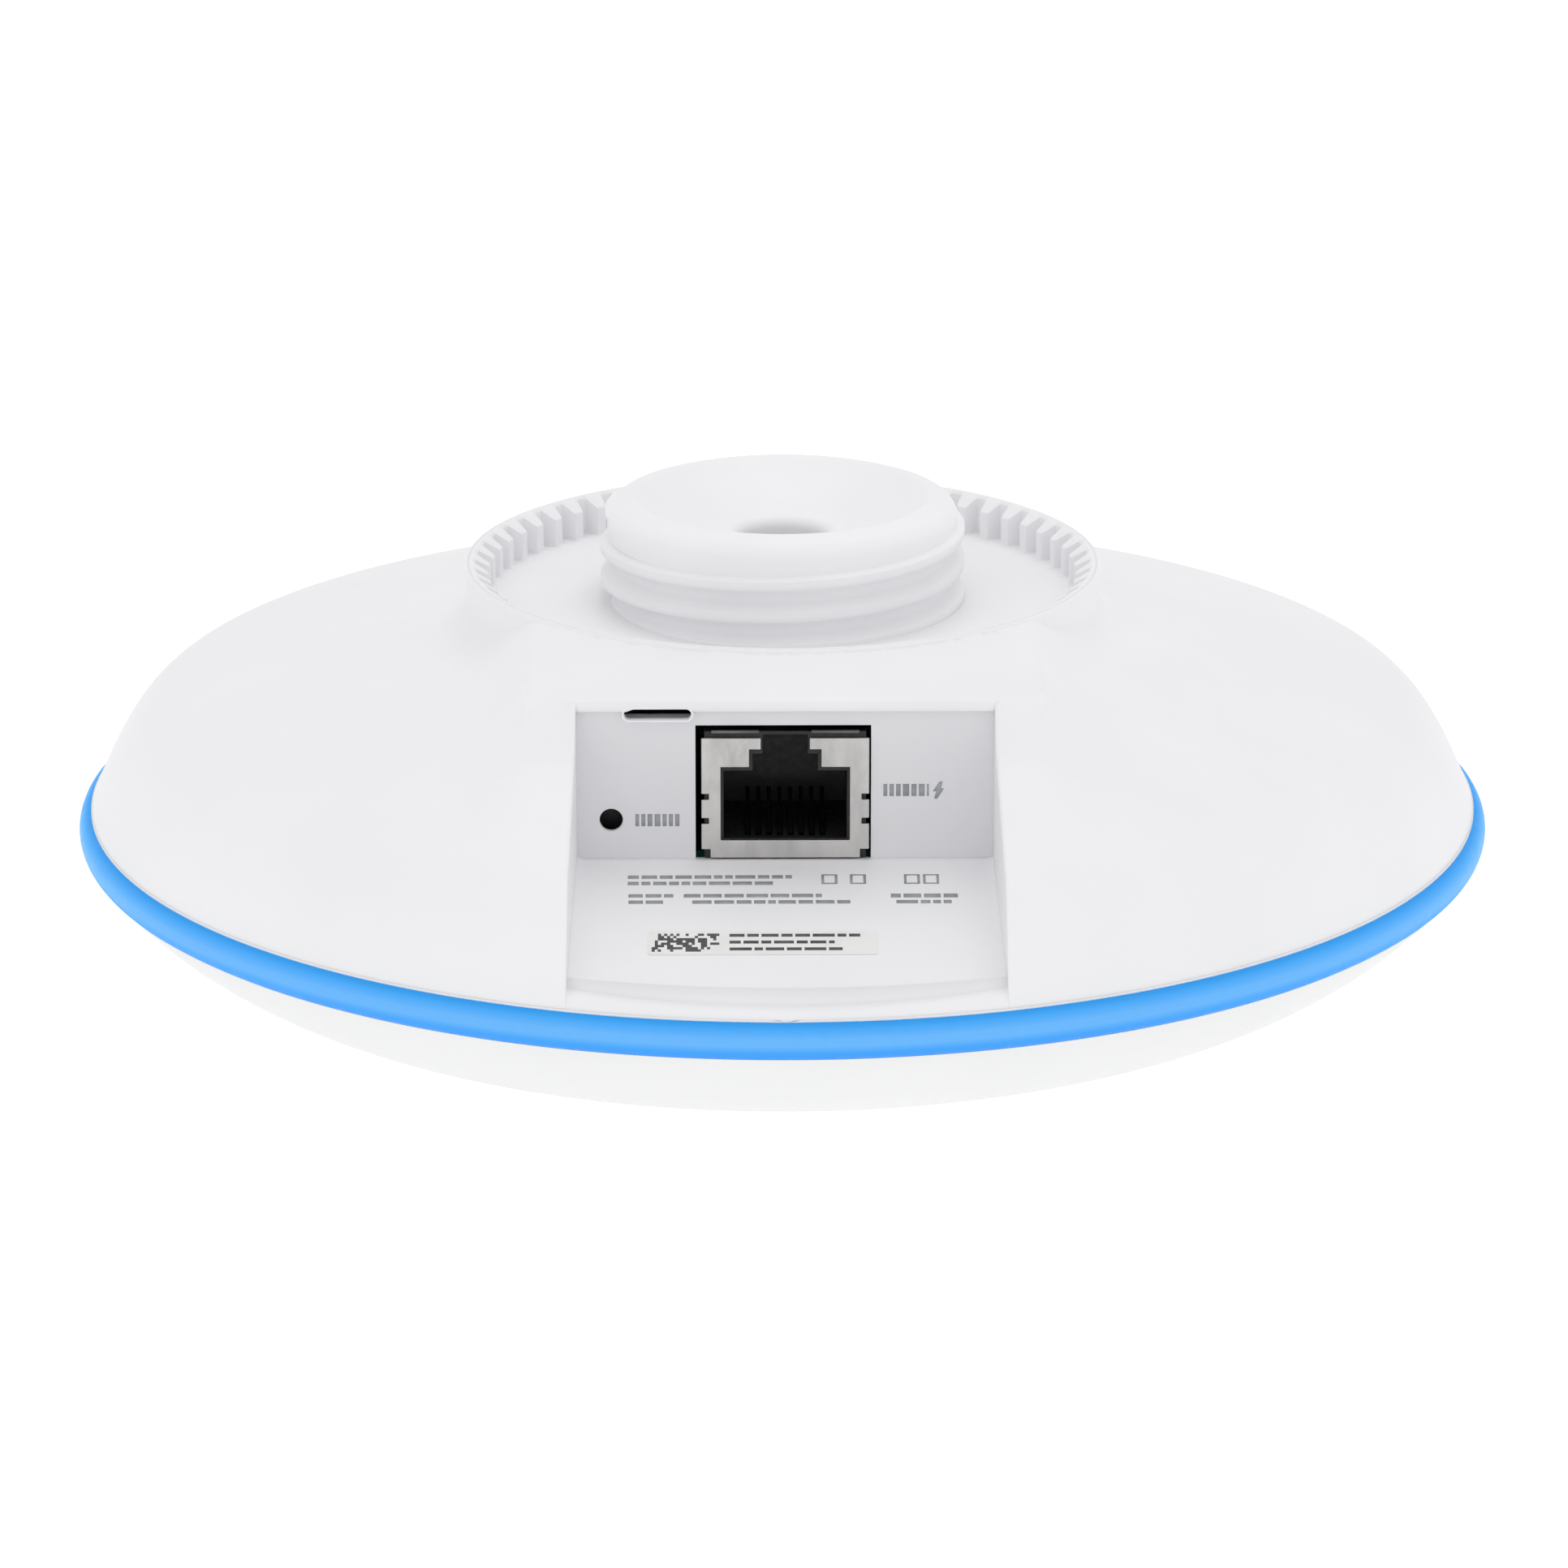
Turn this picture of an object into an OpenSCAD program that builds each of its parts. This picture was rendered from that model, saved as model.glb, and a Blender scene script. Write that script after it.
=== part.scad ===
// Disc-shaped radio access point: the electronics sit between a back shell and a round front cover,
// with a light ring between the two, and a threaded post on the back carries the whole device.
// Shapes are built about the light ring's mid plane; to_frame() moves them to the part's own frame,
// whose origin is on the post's axis, in the plane of the recess floor around the post.

/* [Housing] */
// Outer radius of the light ring, the widest place
ring_r = 70; // [69.5:0.5:71]
// Half height of the light ring
ring_half = 1.8; // [1.6:0.1:1.8]
// Wall thickness of the back shell
wall = 2.2; // [2:0.1:2.4]
// Slope of the back shell's outer wall, in degrees from the ring's plane
wall_slope = 66; // [65:0.5:67]
// Slope of the shallow dome between the shoulder and the collar, in degrees
dome_slope = 14.4; // [14:0.1:14.6]
// Slope of the front cover at the edge of its spherical middle
cap_slope = 13.7; // [13:0.1:14.5]
// Slope of the front cover at its rim
cover_rim_slope = 50.2; // [49:0.2:52]

/* [Collar and post] */
// Outer radius of the toothed collar
collar_r = 31.4; // [31.2:0.1:31.8]
// Height of the collar's rim above the ring plane
collar_top = 26.2; // [25.8:0.1:26.6]
// Height of the recess floor, the seat plane, above the ring plane
seat_z = 22.4; // [22.3:0.1:22.5]
// Number of teeth inside the collar
teeth = 60; // [48:12:72]
// Radius of the post's thread over its crests
crest_r = 18; // [17.8:0.1:18]
// Distance between two thread crests
pitch = 3.2; // [3:0.1:3.2]
// Height of the post's rim above the ring plane
post_top = 32.9; // [32.6:0.1:33.2]
// Radius of the bore through the middle of the post
bore_r = 4.4; // [4:0.1:4.6]

/* [Port bay] */
// Half width of the bay that holds the network port
bay_half = 20.3; // [20:0.1:20.5]
// Height of the bay's floor at its back wall, which is also the circuit board's top face
bay_floor = 8.1; // [8:0.1:8.2]
// Width of the network jack's metal shield
jack_w = 15.9; // [15.8:0.1:16]
// Height of the network jack's metal shield
jack_h = 12.8; // [12.7:0.1:12.9]
// Radius of the reset access hole
reset_r = 1.1; // [1:0.1:1.2]
// Travel of the reset button
reset_travel = 0.35; // [0.25:0.05:0.35]

/* [Hidden] */
$fn = 96;
eps = 0.01;

// Back shell: where its wall and dome lines meet, and how far the shoulder's rounding reaches
rim_r = ring_r - 1.2;
dome_apex = 28.36;
shoulder_reach = 5.2;
floor_under = seat_z - 3;
tooth_root_r = 30.4;
tooth_tip_r = 29;

// Boss over the port: top, front break and ramp down to the shoulder, as places in Y and Z
boss_half = 25;
boss_top = 24;
boss_lip_y = -40.2;
boss_break = [-42.7, 19.1];
boss_ramp_end = [-63, 10];
boss_inner_y = -15;
boss_skin = 2;
boss_room_y = -12;
boss_room_z = 10;

// Bay: back wall plane, ceiling, and the floor's slope out to the rim
bay_back = -39.6;
bay_top = 22.8;
bay_skin = 1.8;
bay_rim = [-68.5, 2.3];
bay_out = -75;
bay_foot_y = -60;
latch_slot_x = [-15.1, -8.8];
latch_slot_low = 21.75;

// Network jack, and its plug opening as half widths and heights
jack_z = bay_floor + 0.1;
jack_depth = 14.4;
jack_front = bay_back - 0.3;
sheet = 0.3;
port_gap = 0.3;
jack_room = 1.2;
plug_half = 5.95;
plug_low = 9.96;
plug_high = 16.92;
step_half = 3.2;
step_high = 18.6;
latch_half = 2.25;
latch_high = 20.4;
contact_pitch = 1.02;
contact_size = [0.4, 7.5, 0.3];
contact_tilt = 18;
contact_inset = 2.6;

// Reset button and its side-actuated switch
reset_x = -16.5;
reset_z = 11.9;
button_r = 1.6;
button_tip = -36.9;
button_length = 2.8;
button_back = button_tip + button_length;
dome_gap = reset_travel + 0.2;
switch_front = -35.3;
switch_size = [6, 4, 6.4];

// Screws: play in a tapped hole and in a plain one, and the shank of each kind
tapped_gap = 0.05;
clear_gap = 0.3;
post_shank_r = 1.2;
chassis_shank_r = 1.4;
antenna_shank_r = 1;

// Main board and what it carries, as widths, depths and heights
pcb_r = 60;
pcb_t = 1.6;
pcb_low = bay_floor - pcb_t;
can_h = 2.5;
cans = [[-19, 18, 24, 24], [14, 22, 26, 20], [14, -6, 22, 22]];
processor_size = [14, 14, 1.4];
radio_size = [9, 9, 1.2];
memory_size = [8, 11, 1.1];
chassis_at = [[38, 26], [-38, 26], [-38, -20], [38, -20]];
standoff_r = 3.6;

// Heat spreader, antenna board and the front cover's tongue, as heights
spreader_low = 1.2;
spreader_high = 3.2;
spreader_r = 59.6;
antenna_low = -6;
antenna_high = -4.8;
antenna_r = 50;
antenna_fix = [[30, 30], [-30, 30], [-30, -30], [30, -30]];
patch_z = -10.2;
patch_t = 0.5;
patch_reach = 27;
patch_sides = [26, 20];
coax_at = [[34, 10], [-34, 10], [-12, 36], [12, 36]];
coax_r = 0.6;
coax_plug_r = 1.3;
coax_plug_h = 1.2;
tongue_in = 60.8;
tongue_out = 62.3;
tongue_high = 5.2;
hook_reach = 0.7;
hook_size = [8, 7, 1.5];

// Light ring, its board and the tail that joins the board to the main one
ring_gap = 0.3;
ring_body_in = 65.6;
lip_half = 1.1;
lip_depth = 5;
gasket_out = 65.4;
led_board_z = 3.2;
led_board_t = 0.8;
led_board_out = 65.2;
led_ledge = [64, 66, 1.2];
led_r = 64;
led_size = [1.2, 3, 0.9];
led_count = 24;
led_free_angle = 20;
tail_w = 5;
tail_t = 0.2;
tail_y = 62.3;

// Front cover: a spherical cap, then an arc that turns up to the rim
cover_wall = 2;
cap_r = 50;
cap_sphere = cap_r / sin(cap_slope);
bend_r = (rim_r - cap_r) / (sin(cover_rim_slope) - sin(cap_slope));
bend_centre = [cap_r - bend_r * sin(cap_slope), bend_r * cos(cover_rim_slope) - ring_half];
cap_centre = [0, bend_centre[1] + (cap_sphere - bend_r) * cos(cap_slope)];

// Post: inner flange and the four screws that hold it
flange_r = 23.5;
flange_low = 16.4;
flange_high = 18.9;
pilot_r = 17.6;
root_r = 16.7;
neck_r = 17.3;
neck_drop = 1.6;
brow_r = 16.4;
brow_drop = 0.5;
rim_flat = 0.2;
dish_rim_r = 14.4;
dish_r = 26.8;
post_screw_r = 21;
post_gap = 0.2;
post_core = 3.2;
post_skin = 2.4;
post_roof = 6;
crest_half = 0.5;
thread_flank = 0.55;

module to_frame() {
    translate([0, 0, -seat_z]) children();
}

// A cylinder between two heights
module drum(r, low, high) {
    translate([0, 0, low]) cylinder(r = r, h = high - low);
}

// A ring between two heights
module ring(r_in, r_out, low, high) {
    difference() {
        drum(r_out, low, high);
        drum(r_in, low - 1, high + 1);
    }
}

// A box centred on a point in X and Y, between two heights
module slab(at, size, low, high) {
    translate([at[0] - size[0] / 2, at[1] - size[1] / 2, low]) cube([size[0], size[1], high - low]);
}

// An outline in Y and Z, extruded along X to both sides of the middle
module side_prism(points, half) {
    rotate([90, 0, 90]) translate([0, 0, -half]) linear_extrude(2 * half) polygon(points);
}

// An outline in X and Z, extruded along +Y from a plane
module front_prism(points, from_y, depth) {
    translate([0, from_y + depth, 0]) rotate([90, 0, 0]) linear_extrude(depth) polygon(points);
}

module at_places(places) {
    for (p = places) translate([p[0], p[1], 0]) children();
}

// The four screw places on a circle, halfway between the axes
function diagonal_places(r) = [for (a = [45:90:315]) [r * cos(a), r * sin(a)]];

// The back shell's side outline from the rim up to the dome, moved inwards by d
function shoulder(d) = let (
    r0 = rim_r - d / sin(wall_slope),
    apex = dome_apex - d / cos(dome_slope),
    steep = tan(wall_slope),
    shallow = tan(dome_slope),
    rc = (r0 * steep - apex + ring_half) / (steep - shallow),
    corner = [rc, apex - rc * shallow],
    reach = shoulder_reach - 0.4 * d,
    low = corner + reach * [cos(wall_slope), -sin(wall_slope)],
    high = corner + reach * [-cos(dome_slope), sin(dome_slope)]
) [for (t = [0:0.125:1]) (1 - t) * (1 - t) * low + 2 * t * (1 - t) * corner + t * t * high];

function dome_z(r, d) = dome_apex - d / cos(dome_slope) - r * tan(dome_slope);
function dome_r(z, d) = (dome_apex - d / cos(dome_slope) - z) / tan(dome_slope);
function bay_floor_z(y) = bay_floor + (y - bay_back) * (bay_rim[1] - bay_floor) / (bay_rim[0] - bay_back);

module dome_solid() {
    rotate_extrude($fn = 180) polygon(concat(
        [[0, ring_half], [rim_r, ring_half]],
        shoulder(0),
        [[collar_r, dome_z(collar_r, 0)], [collar_r, collar_top], [0, collar_top]]
    ));
}

module dome_cavity() {
    rotate_extrude($fn = 180) polygon(concat(
        [[0, ring_half - 1], [rim_r - wall / sin(wall_slope), ring_half - 1]],
        [[rim_r - wall / sin(wall_slope), ring_half]],
        shoulder(wall),
        [[dome_r(floor_under, wall), floor_under], [0, floor_under]]
    ));
}

// The boss that houses the port, held inside the cone of the outer wall
module boss_solid() {
    intersection() {
        side_prism([
            [boss_inner_y, ring_half], [boss_inner_y, boss_top], [boss_lip_y, boss_top], boss_break,
            boss_ramp_end, [boss_ramp_end[0], ring_half]
        ], boss_half);
        rotate_extrude($fn = 180) polygon([
            [0, ring_half], [rim_r, ring_half],
            [rim_r - (boss_top - ring_half) / tan(wall_slope), boss_top], [0, boss_top]
        ]);
    }
}

// Room for the jack and the parts beside it, between the collar and the bay's back wall
module boss_cavity() {
    from_y = bay_back + bay_skin;
    rise = boss_top - boss_skin - boss_room_z;
    jack_end = jack_front + jack_depth + jack_room;
    difference() {
        translate([boss_skin - boss_half, from_y, boss_room_z])
            cube([2 * (boss_half - boss_skin), boss_room_y - from_y, rise]);
        drum(collar_r + 1, 0, collar_top);
    }
    translate([-jack_w / 2 - jack_room, from_y, boss_room_z])
        cube([jack_w + 2 * jack_room, jack_end - from_y, rise]);
}

module bay_block() {
    side_prism([
        [bay_back + bay_skin, bay_floor - bay_skin], [bay_back + bay_skin, boss_top + 1],
        [bay_out, boss_top + 1], [bay_out, ring_half], [bay_foot_y, ring_half]
    ], bay_half + bay_skin);
}

module bay_space() {
    side_prism([
        [bay_back, bay_top], [bay_back, bay_floor], bay_rim,
        [bay_out, bay_floor_z(bay_out)], [bay_out, bay_top]
    ], bay_half);
}

// The recess inside the collar: its outline zigzags between the teeth's roots and tips
module recess_space() {
    step = 360 / teeth;
    outline = [for (i = [0:teeth - 1]) each [
        tooth_root_r * [cos(i * step), sin(i * step)],
        tooth_tip_r * [cos((i + 0.5) * step), sin((i + 0.5) * step)]
    ]];
    translate([0, 0, seat_z]) linear_extrude(collar_top - seat_z + 1) polygon(outline);
}

module back_shell() {
    color("whitesmoke") to_frame() difference() {
        union() {
            difference() {
                union() {
                    dome_solid();
                    boss_solid();
                }
                dome_cavity();
                boss_cavity();
            }
            intersection() {
                union() {
                    dome_solid();
                    boss_solid();
                }
                bay_block();
            }
            // Stand-offs that the main board is screwed to
            at_places(chassis_at) drum(standoff_r, bay_floor, dome_z(norm(chassis_at[0]), wall) + 1);
            // Ledge that the light ring's board lies against
            translate([0, 0, led_board_z + led_board_t]) ring(led_ledge[0], led_ledge[1], 0, led_ledge[2]);
        }
        bay_space();
        // Port cut-out, latch slot and reset hole in the bay's back wall
        translate([-jack_w / 2 - port_gap, bay_back - 1, bay_floor])
            cube([jack_w + 2 * port_gap, bay_skin + 2, jack_z + jack_h + port_gap - bay_floor]);
        translate([latch_slot_x[0], bay_back - 1, latch_slot_low])
            cube([latch_slot_x[1] - latch_slot_x[0], bay_skin + 2, bay_top - latch_slot_low - 5 * eps]);
        translate([reset_x, bay_back - 1, reset_z]) rotate([-90, 0, 0])
            cylinder(r = reset_r, h = bay_skin + 2);
        recess_space();
        drum(crest_r + post_gap, floor_under - 1, seat_z + 1);
        at_places(diagonal_places(post_screw_r))
            drum(post_shank_r + tapped_gap, floor_under - 1, seat_z - 1.1);
        at_places(chassis_at) drum(chassis_shank_r + tapped_gap, bay_floor - 1, bay_floor + 5);
    }
}

// Half outline of the post's outside: a crest on the seat plane, then two more crests
function thread_points() = [for (i = [0:2]) let (z = seat_z + crest_half + i * pitch) each [
    if (i > 0) [root_r, z - crest_half - thread_flank],
    [crest_r, z - crest_half],
    [crest_r, z + crest_half],
    [i < 2 ? root_r : neck_r, z + crest_half + thread_flank]
]];

module mount_post() {
    color("white") to_frame() difference() {
        union() {
            drum(flange_r, flange_low, flange_high);
            drum(pilot_r, flange_low, seat_z);
            rotate_extrude() polygon(concat(
                [[0, seat_z]], thread_points(),
                [[neck_r, post_top - neck_drop], [brow_r, post_top - brow_drop]],
                [[dish_rim_r + rim_flat, post_top], [0, post_top]]
            ));
        }
        translate([0, 0, post_top + sqrt(dish_r * dish_r - dish_rim_r * dish_rim_r)]) sphere(r = dish_r);
        drum(bore_r, flange_low - 1, post_top);
        ring(bore_r + post_core, root_r - post_skin, flange_low - 1, post_top - post_roof);
        at_places(diagonal_places(post_screw_r))
            drum(post_shank_r + clear_gap, flange_low - 1, flange_high + 1);
    }
}

module post_seal() {
    color("dimgray") to_frame() difference() {
        ring(crest_r + clear_gap, flange_r, flange_high, floor_under);
        at_places(diagonal_places(post_screw_r))
            drum(post_shank_r + clear_gap, flange_high - 1, floor_under + 1);
    }
}

// A screw standing on its head, with a cross recess in the head
module screw(shank_r, head_r, head_h, seat, tip) {
    cross_length = 1.2;
    cross_width = 0.28;
    difference() {
        union() {
            drum(head_r, seat - head_h, seat);
            drum(shank_r, seat - eps, tip);
        }
        for (turn = [0, 90]) rotate(turn)
            slab([0, 0], head_r * [cross_length, cross_width], seat - head_h - 1, seat - head_h / 2);
    }
}

module post_screws() {
    color("silver") to_frame() at_places(diagonal_places(post_screw_r))
        screw(post_shank_r, head_r = 2.2, head_h = 1.5, seat = flange_low, tip = seat_z - 1.2);
}

// The front cover's outline from its middle out to the slope named last, moved inwards by d
function cover_arc(d, last) = concat(
    [for (i = [0:5]) let (a = i * cap_slope / 6) (cap_sphere - d) * [sin(a), -cos(a)] + cap_centre],
    [for (i = [0:6]) let (a = cap_slope + i * (last - cap_slope) / 6)
        (bend_r - d) * [sin(a), -cos(a)] + bend_centre]
);
function backwards(v) = [for (i = [len(v) - 1:-1:0]) v[i]];

module radome_cover() {
    inner_last = asin((tongue_in - bend_centre[0]) / (bend_r - cover_wall));
    color("white") to_frame() {
        difference() {
            rotate_extrude($fn = 180) polygon(concat(
                cover_arc(0, cover_rim_slope),
                [[tongue_out, -ring_half], [tongue_out, tongue_high], [tongue_in, tongue_high]],
                backwards(cover_arc(cover_wall, inner_last))
            ));
            // Gaps in the tongue for the bay and for the light ring's tail
            slab([0, bay_foot_y], [2 * bay_half + 5, 24], lip_half + 0.1, tongue_high + 1);
            slab([0, tongue_out], [tail_w + 3, 6], lip_half + 0.1, tongue_high + 1);
        }
        // Snap hooks over the heat spreader's edge
        for (a = [0, 60, 120, 180, 225, 315]) intersection() {
            translate([0, 0, spreader_high + 0.1])
                ring(spreader_r - hook_reach, tongue_in + 0.2, 0, hook_size[2]);
            rotate(a) slab([tongue_in, 0], hook_size, spreader_high, spreader_high + 2 * hook_size[2]);
        }
    }
}

module led_ring() {
    bulge = ring_r - rim_r;
    bulge_r = (bulge * bulge + ring_half * ring_half) / (2 * bulge);
    color("deepskyblue") to_frame() rotate_extrude($fn = 180) {
        translate([tongue_out + ring_gap, -lip_half]) square([lip_depth, 2 * lip_half]);
        translate([ring_body_in, -ring_half]) square([ring_r - bulge_r - ring_body_in, 2 * ring_half]);
        intersection() {
            translate([ring_r - bulge_r, 0]) circle(r = bulge_r);
            translate([ring_r - bulge_r - eps, -ring_half]) square([bulge_r + 1, 2 * ring_half]);
        }
    }
}

module housing_gasket() {
    color("gray") to_frame() ring(tongue_out + ring_gap, gasket_out, -ring_half, -lip_half);
}

// Room cut out of the boards for the bay, from a plane outwards
module bay_keepout(margin, from_y) {
    slab([0, from_y - pcb_r / 2], [2 * (bay_half + bay_skin + margin), pcb_r], -5, 12);
}

module led_board() {
    color("white") to_frame() difference() {
        ring(tongue_out + ring_gap, led_board_out, led_board_z, led_board_z + led_board_t);
        bay_keepout(0.6, bay_back);
    }
}

// Side-by-side light emitters that shine down on the light ring's inner lip
module leds() {
    color("lightyellow") to_frame() for (i = [0:led_count - 1]) let (a = (i + 0.5) * 360 / led_count)
        if (abs(a - 270) > led_free_angle) rotate(a)
            slab([led_r, 0], led_size, led_board_z - led_size[2], led_board_z);
}

// A tape from the main board's underside, down past its edge and onto the light ring's board
module led_flex_tail() {
    board_top = led_board_z + led_board_t;
    on_main = 4.8;
    on_light = 1.7;
    color("peru") to_frame() {
        slab([0, tail_y - on_main / 2], [tail_w, on_main], pcb_low - tail_t, pcb_low);
        slab([0, tail_y - tail_t / 2], [tail_w, tail_t], board_top + tail_t, pcb_low);
        slab([0, tail_y - tail_t + on_light / 2], [tail_w, on_light], board_top, board_top + tail_t);
    }
}

module main_pcb() {
    color("darkgreen") to_frame() difference() {
        drum(pcb_r, pcb_low, bay_floor);
        bay_keepout(0.6, bay_back + bay_skin + 0.4);
        at_places(chassis_at) drum(chassis_shank_r + clear_gap, pcb_low - 1, bay_floor + 1);
    }
}

// The plug opening's outline in X and Z, grown by a margin
function plug_outline(m) = [
    [-plug_half - m, plug_low - m], [plug_half + m, plug_low - m], [plug_half + m, plug_high + m],
    [step_half + m, plug_high + m], [step_half + m, step_high + m], [latch_half + m, step_high + m],
    [latch_half + m, latch_high], [-latch_half - m, latch_high], [-latch_half - m, step_high + m],
    [-step_half - m, step_high + m], [-step_half - m, plug_high + m], [-plug_half - m, plug_high + m]
];

module jack_shield() {
    color("silver") to_frame() difference() {
        translate([-jack_w / 2, jack_front, jack_z]) cube([jack_w, jack_depth, jack_h]);
        translate([-jack_w / 2 + sheet, jack_front + sheet, jack_z - 1])
            cube([jack_w - 2 * sheet, jack_depth - 2 * sheet, jack_h - sheet + 1]);
        front_prism(plug_outline(0), jack_front - 1, 2);
    }
}

module jack_insert() {
    back_wall = 1.4;
    slot_inset = 1.2;
    slot_w = 0.6;
    color("black") to_frame() difference() {
        translate([-jack_w / 2 + sheet, jack_front + sheet, jack_z])
            cube([jack_w - 2 * sheet, jack_depth - 2 * sheet, jack_h - sheet]);
        front_prism(plug_outline(-0.1), jack_front - 1, jack_depth - back_wall);
        // Slots that the contact springs lie in
        for (i = [-3.5:3.5]) translate([i * contact_pitch - slot_w / 2, jack_front + slot_inset, jack_z + 1])
            cube([slot_w, jack_depth - 3 * slot_inset, 1.2]);
    }
}

module jack_contacts() {
    color("gold") to_frame() for (i = [-3.5:3.5])
        translate([i * contact_pitch, jack_front + contact_inset, plug_low - contact_size[2]])
            rotate([contact_tilt, 0, 0]) translate([-contact_size[0] / 2, 0, 0]) cube(contact_size);
}

module lan_transformer() {
    at = [0, -16.5];
    size = [13, 12, 5.6];
    mark = [0.6, 2, 0.6];
    color("black") to_frame() difference() {
        slab(at, size, bay_floor, bay_floor + size[2]);
        slab([at[0] - size[0] / 2, at[1]], mark, bay_floor + size[2] - mark[2], bay_floor + size[2] + 1);
    }
}

// A coil between two flanges
module poe_transformer() {
    at = [-30, 2];
    flange = [13, 14];
    coil = [10, 8];
    levels = [0, 1.6, 6.4, 8];
    color("saddlebrown") to_frame() {
        slab(at, flange, bay_floor + levels[0], bay_floor + levels[1]);
        slab(at, coil, bay_floor + levels[1], bay_floor + levels[2]);
        slab(at, flange, bay_floor + levels[2], bay_floor + levels[3]);
    }
}

module power_inductors() {
    size = [7, 7, 3];
    cup_r = 2.4;
    cup_depth = 0.4;
    color("dimgray") to_frame() for (y = [-18, -8]) difference() {
        slab([24, y], size, bay_floor, bay_floor + size[2]);
        translate([24, y, bay_floor + size[2] - cup_depth]) cylinder(r = cup_r, h = 1);
    }
}

module bulk_capacitors() {
    can_r = 4;
    height = 7;
    crimp_r = 2.6;
    crimp_depth = 0.4;
    color("lightgray") to_frame() for (x = [-27, -17]) translate([x, 25, bay_floor]) difference() {
        cylinder(r = can_r, h = height);
        translate([0, 0, height - crimp_depth]) cylinder(r = crimp_r, h = 1);
    }
}

module reset_switch_body() {
    color("black") to_frame() difference() {
        slab([reset_x, switch_front + switch_size[1] / 2], [switch_size[0], switch_size[1]],
            bay_floor, bay_floor + switch_size[2]);
        translate([reset_x, switch_front - 1, reset_z]) rotate([-90, 0, 0])
            cylinder(r = button_r + 0.05, h = 3.2);
    }
}

module reset_button() {
    color("red") to_frame() translate([reset_x, button_tip, reset_z]) rotate([-90, 0, 0])
        cylinder(r = button_r, h = button_length);
}

// Spring disc behind the button
module switch_dome() {
    height = 0.45;
    color("silver") to_frame() translate([reset_x, button_back + dome_gap, reset_z]) rotate([-90, 0, 0])
        cylinder(r1 = 0.7, r2 = 1.5, h = height);
}

// Something that hangs under the main board
module under_board(at, size) {
    slab(at, size, pcb_low - size[2], pcb_low);
}

module rf_shield_cans() {
    color("silver") to_frame() for (c = cans) difference() {
        slab(c, [c[2], c[3]], pcb_low - can_h, pcb_low);
        slab(c, [c[2] - 2 * sheet, c[3] - 2 * sheet], pcb_low - can_h + sheet, pcb_low + 1);
    }
}

module processor_chip() {
    color("dimgray") to_frame() under_board(cans[0], processor_size);
}

module radio_chips() {
    color("dimgray") to_frame() for (i = [1, 2]) under_board(cans[i], radio_size);
}

module memory_chips() {
    color("black") to_frame() for (y = [-4, -17]) under_board([-14, y], memory_size);
}

module thermal_pads() {
    border = 3;
    color("lightsteelblue") to_frame() for (c = cans)
        slab(c, [c[2] - 2 * border, c[3] - 2 * border], spreader_high, pcb_low - can_h);
}

module heat_spreader() {
    pillar_r = 3.4;
    foot_r = 3;
    coax_hole_r = 2;
    // The bay's floor comes lower than the spreader beyond this plane
    bay_from_y = -53;
    color("lightgray") to_frame() difference() {
        union() {
            drum(spreader_r, spreader_low, spreader_high);
            at_places(chassis_at) drum(pillar_r, spreader_high, pcb_low);
            at_places(antenna_fix) drum(foot_r, antenna_high, spreader_low);
        }
        bay_keepout(0.6, bay_from_y);
        at_places(chassis_at) drum(chassis_shank_r + clear_gap, spreader_low - 1, pcb_low + 1);
        at_places(antenna_fix) drum(antenna_shank_r + tapped_gap, antenna_high - 1, spreader_low + 1);
        at_places(coax_at) drum(coax_hole_r, spreader_low - 1, spreader_high + 1);
    }
}

module chassis_screws() {
    color("silver") to_frame() at_places(chassis_at)
        screw(chassis_shank_r, head_r = 2.8, head_h = 1.8, seat = spreader_low, tip = bay_floor + 4.5);
}

module coax_leads() {
    color("gray") to_frame() at_places(coax_at)
        drum(coax_r, antenna_high + coax_plug_h, pcb_low - coax_plug_h);
}

module coax_plugs() {
    color("gold") to_frame() at_places(coax_at) {
        drum(coax_plug_r, pcb_low - coax_plug_h, pcb_low);
        drum(coax_plug_r, antenna_high, antenna_high + coax_plug_h);
    }
}

module antenna_board() {
    color("seagreen") to_frame() difference() {
        drum(antenna_r, antenna_low, antenna_high);
        at_places(antenna_fix) drum(antenna_shank_r + clear_gap, antenna_low - 1, antenna_high + 1);
    }
}

// Stamped patches, each on its two feed legs
module antenna_patches() {
    leg_r = 0.8;
    leg_low = patch_z + 0.8 * patch_t;
    color("goldenrod") to_frame() for (i = [0:3]) let (side = patch_sides[i % 2]) rotate(90 * i) {
        slab([patch_reach, 0], [side, side], patch_z, patch_z + patch_t);
        for (y = [-4, 4]) translate([patch_reach, y, leg_low]) cylinder(r = leg_r, h = antenna_low - leg_low);
    }
}

module antenna_screws() {
    color("silver") to_frame() at_places(antenna_fix)
        screw(antenna_shank_r, head_r = 2, head_h = 1.4, seat = antenna_low, tip = spreader_low - 1);
}

// Sticker on the bay's sloping floor
module rating_label() {
    slope = atan((bay_floor - bay_rim[1]) / (bay_back - bay_rim[0]));
    size = [21.4, 4.3, 0.1];
    from_x = -12.9;
    down_floor = 18.3;
    color("white") to_frame() translate([from_x, bay_back, bay_floor]) rotate([slope, 0, 0])
        translate([0, -down_floor, 0]) cube(size);
}

back_shell();
mount_post();
post_seal();
post_screws();
radome_cover();
led_ring();
housing_gasket();
led_board();
leds();
led_flex_tail();
main_pcb();
jack_shield();
jack_insert();
jack_contacts();
lan_transformer();
poe_transformer();
power_inductors();
bulk_capacitors();
reset_switch_body();
reset_button();
switch_dome();
rf_shield_cans();
processor_chip();
radio_chips();
memory_chips();
thermal_pads();
heat_spreader();
chassis_screws();
coax_leads();
coax_plugs();
antenna_board();
antenna_patches();
antenna_screws();
rating_label();
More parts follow.
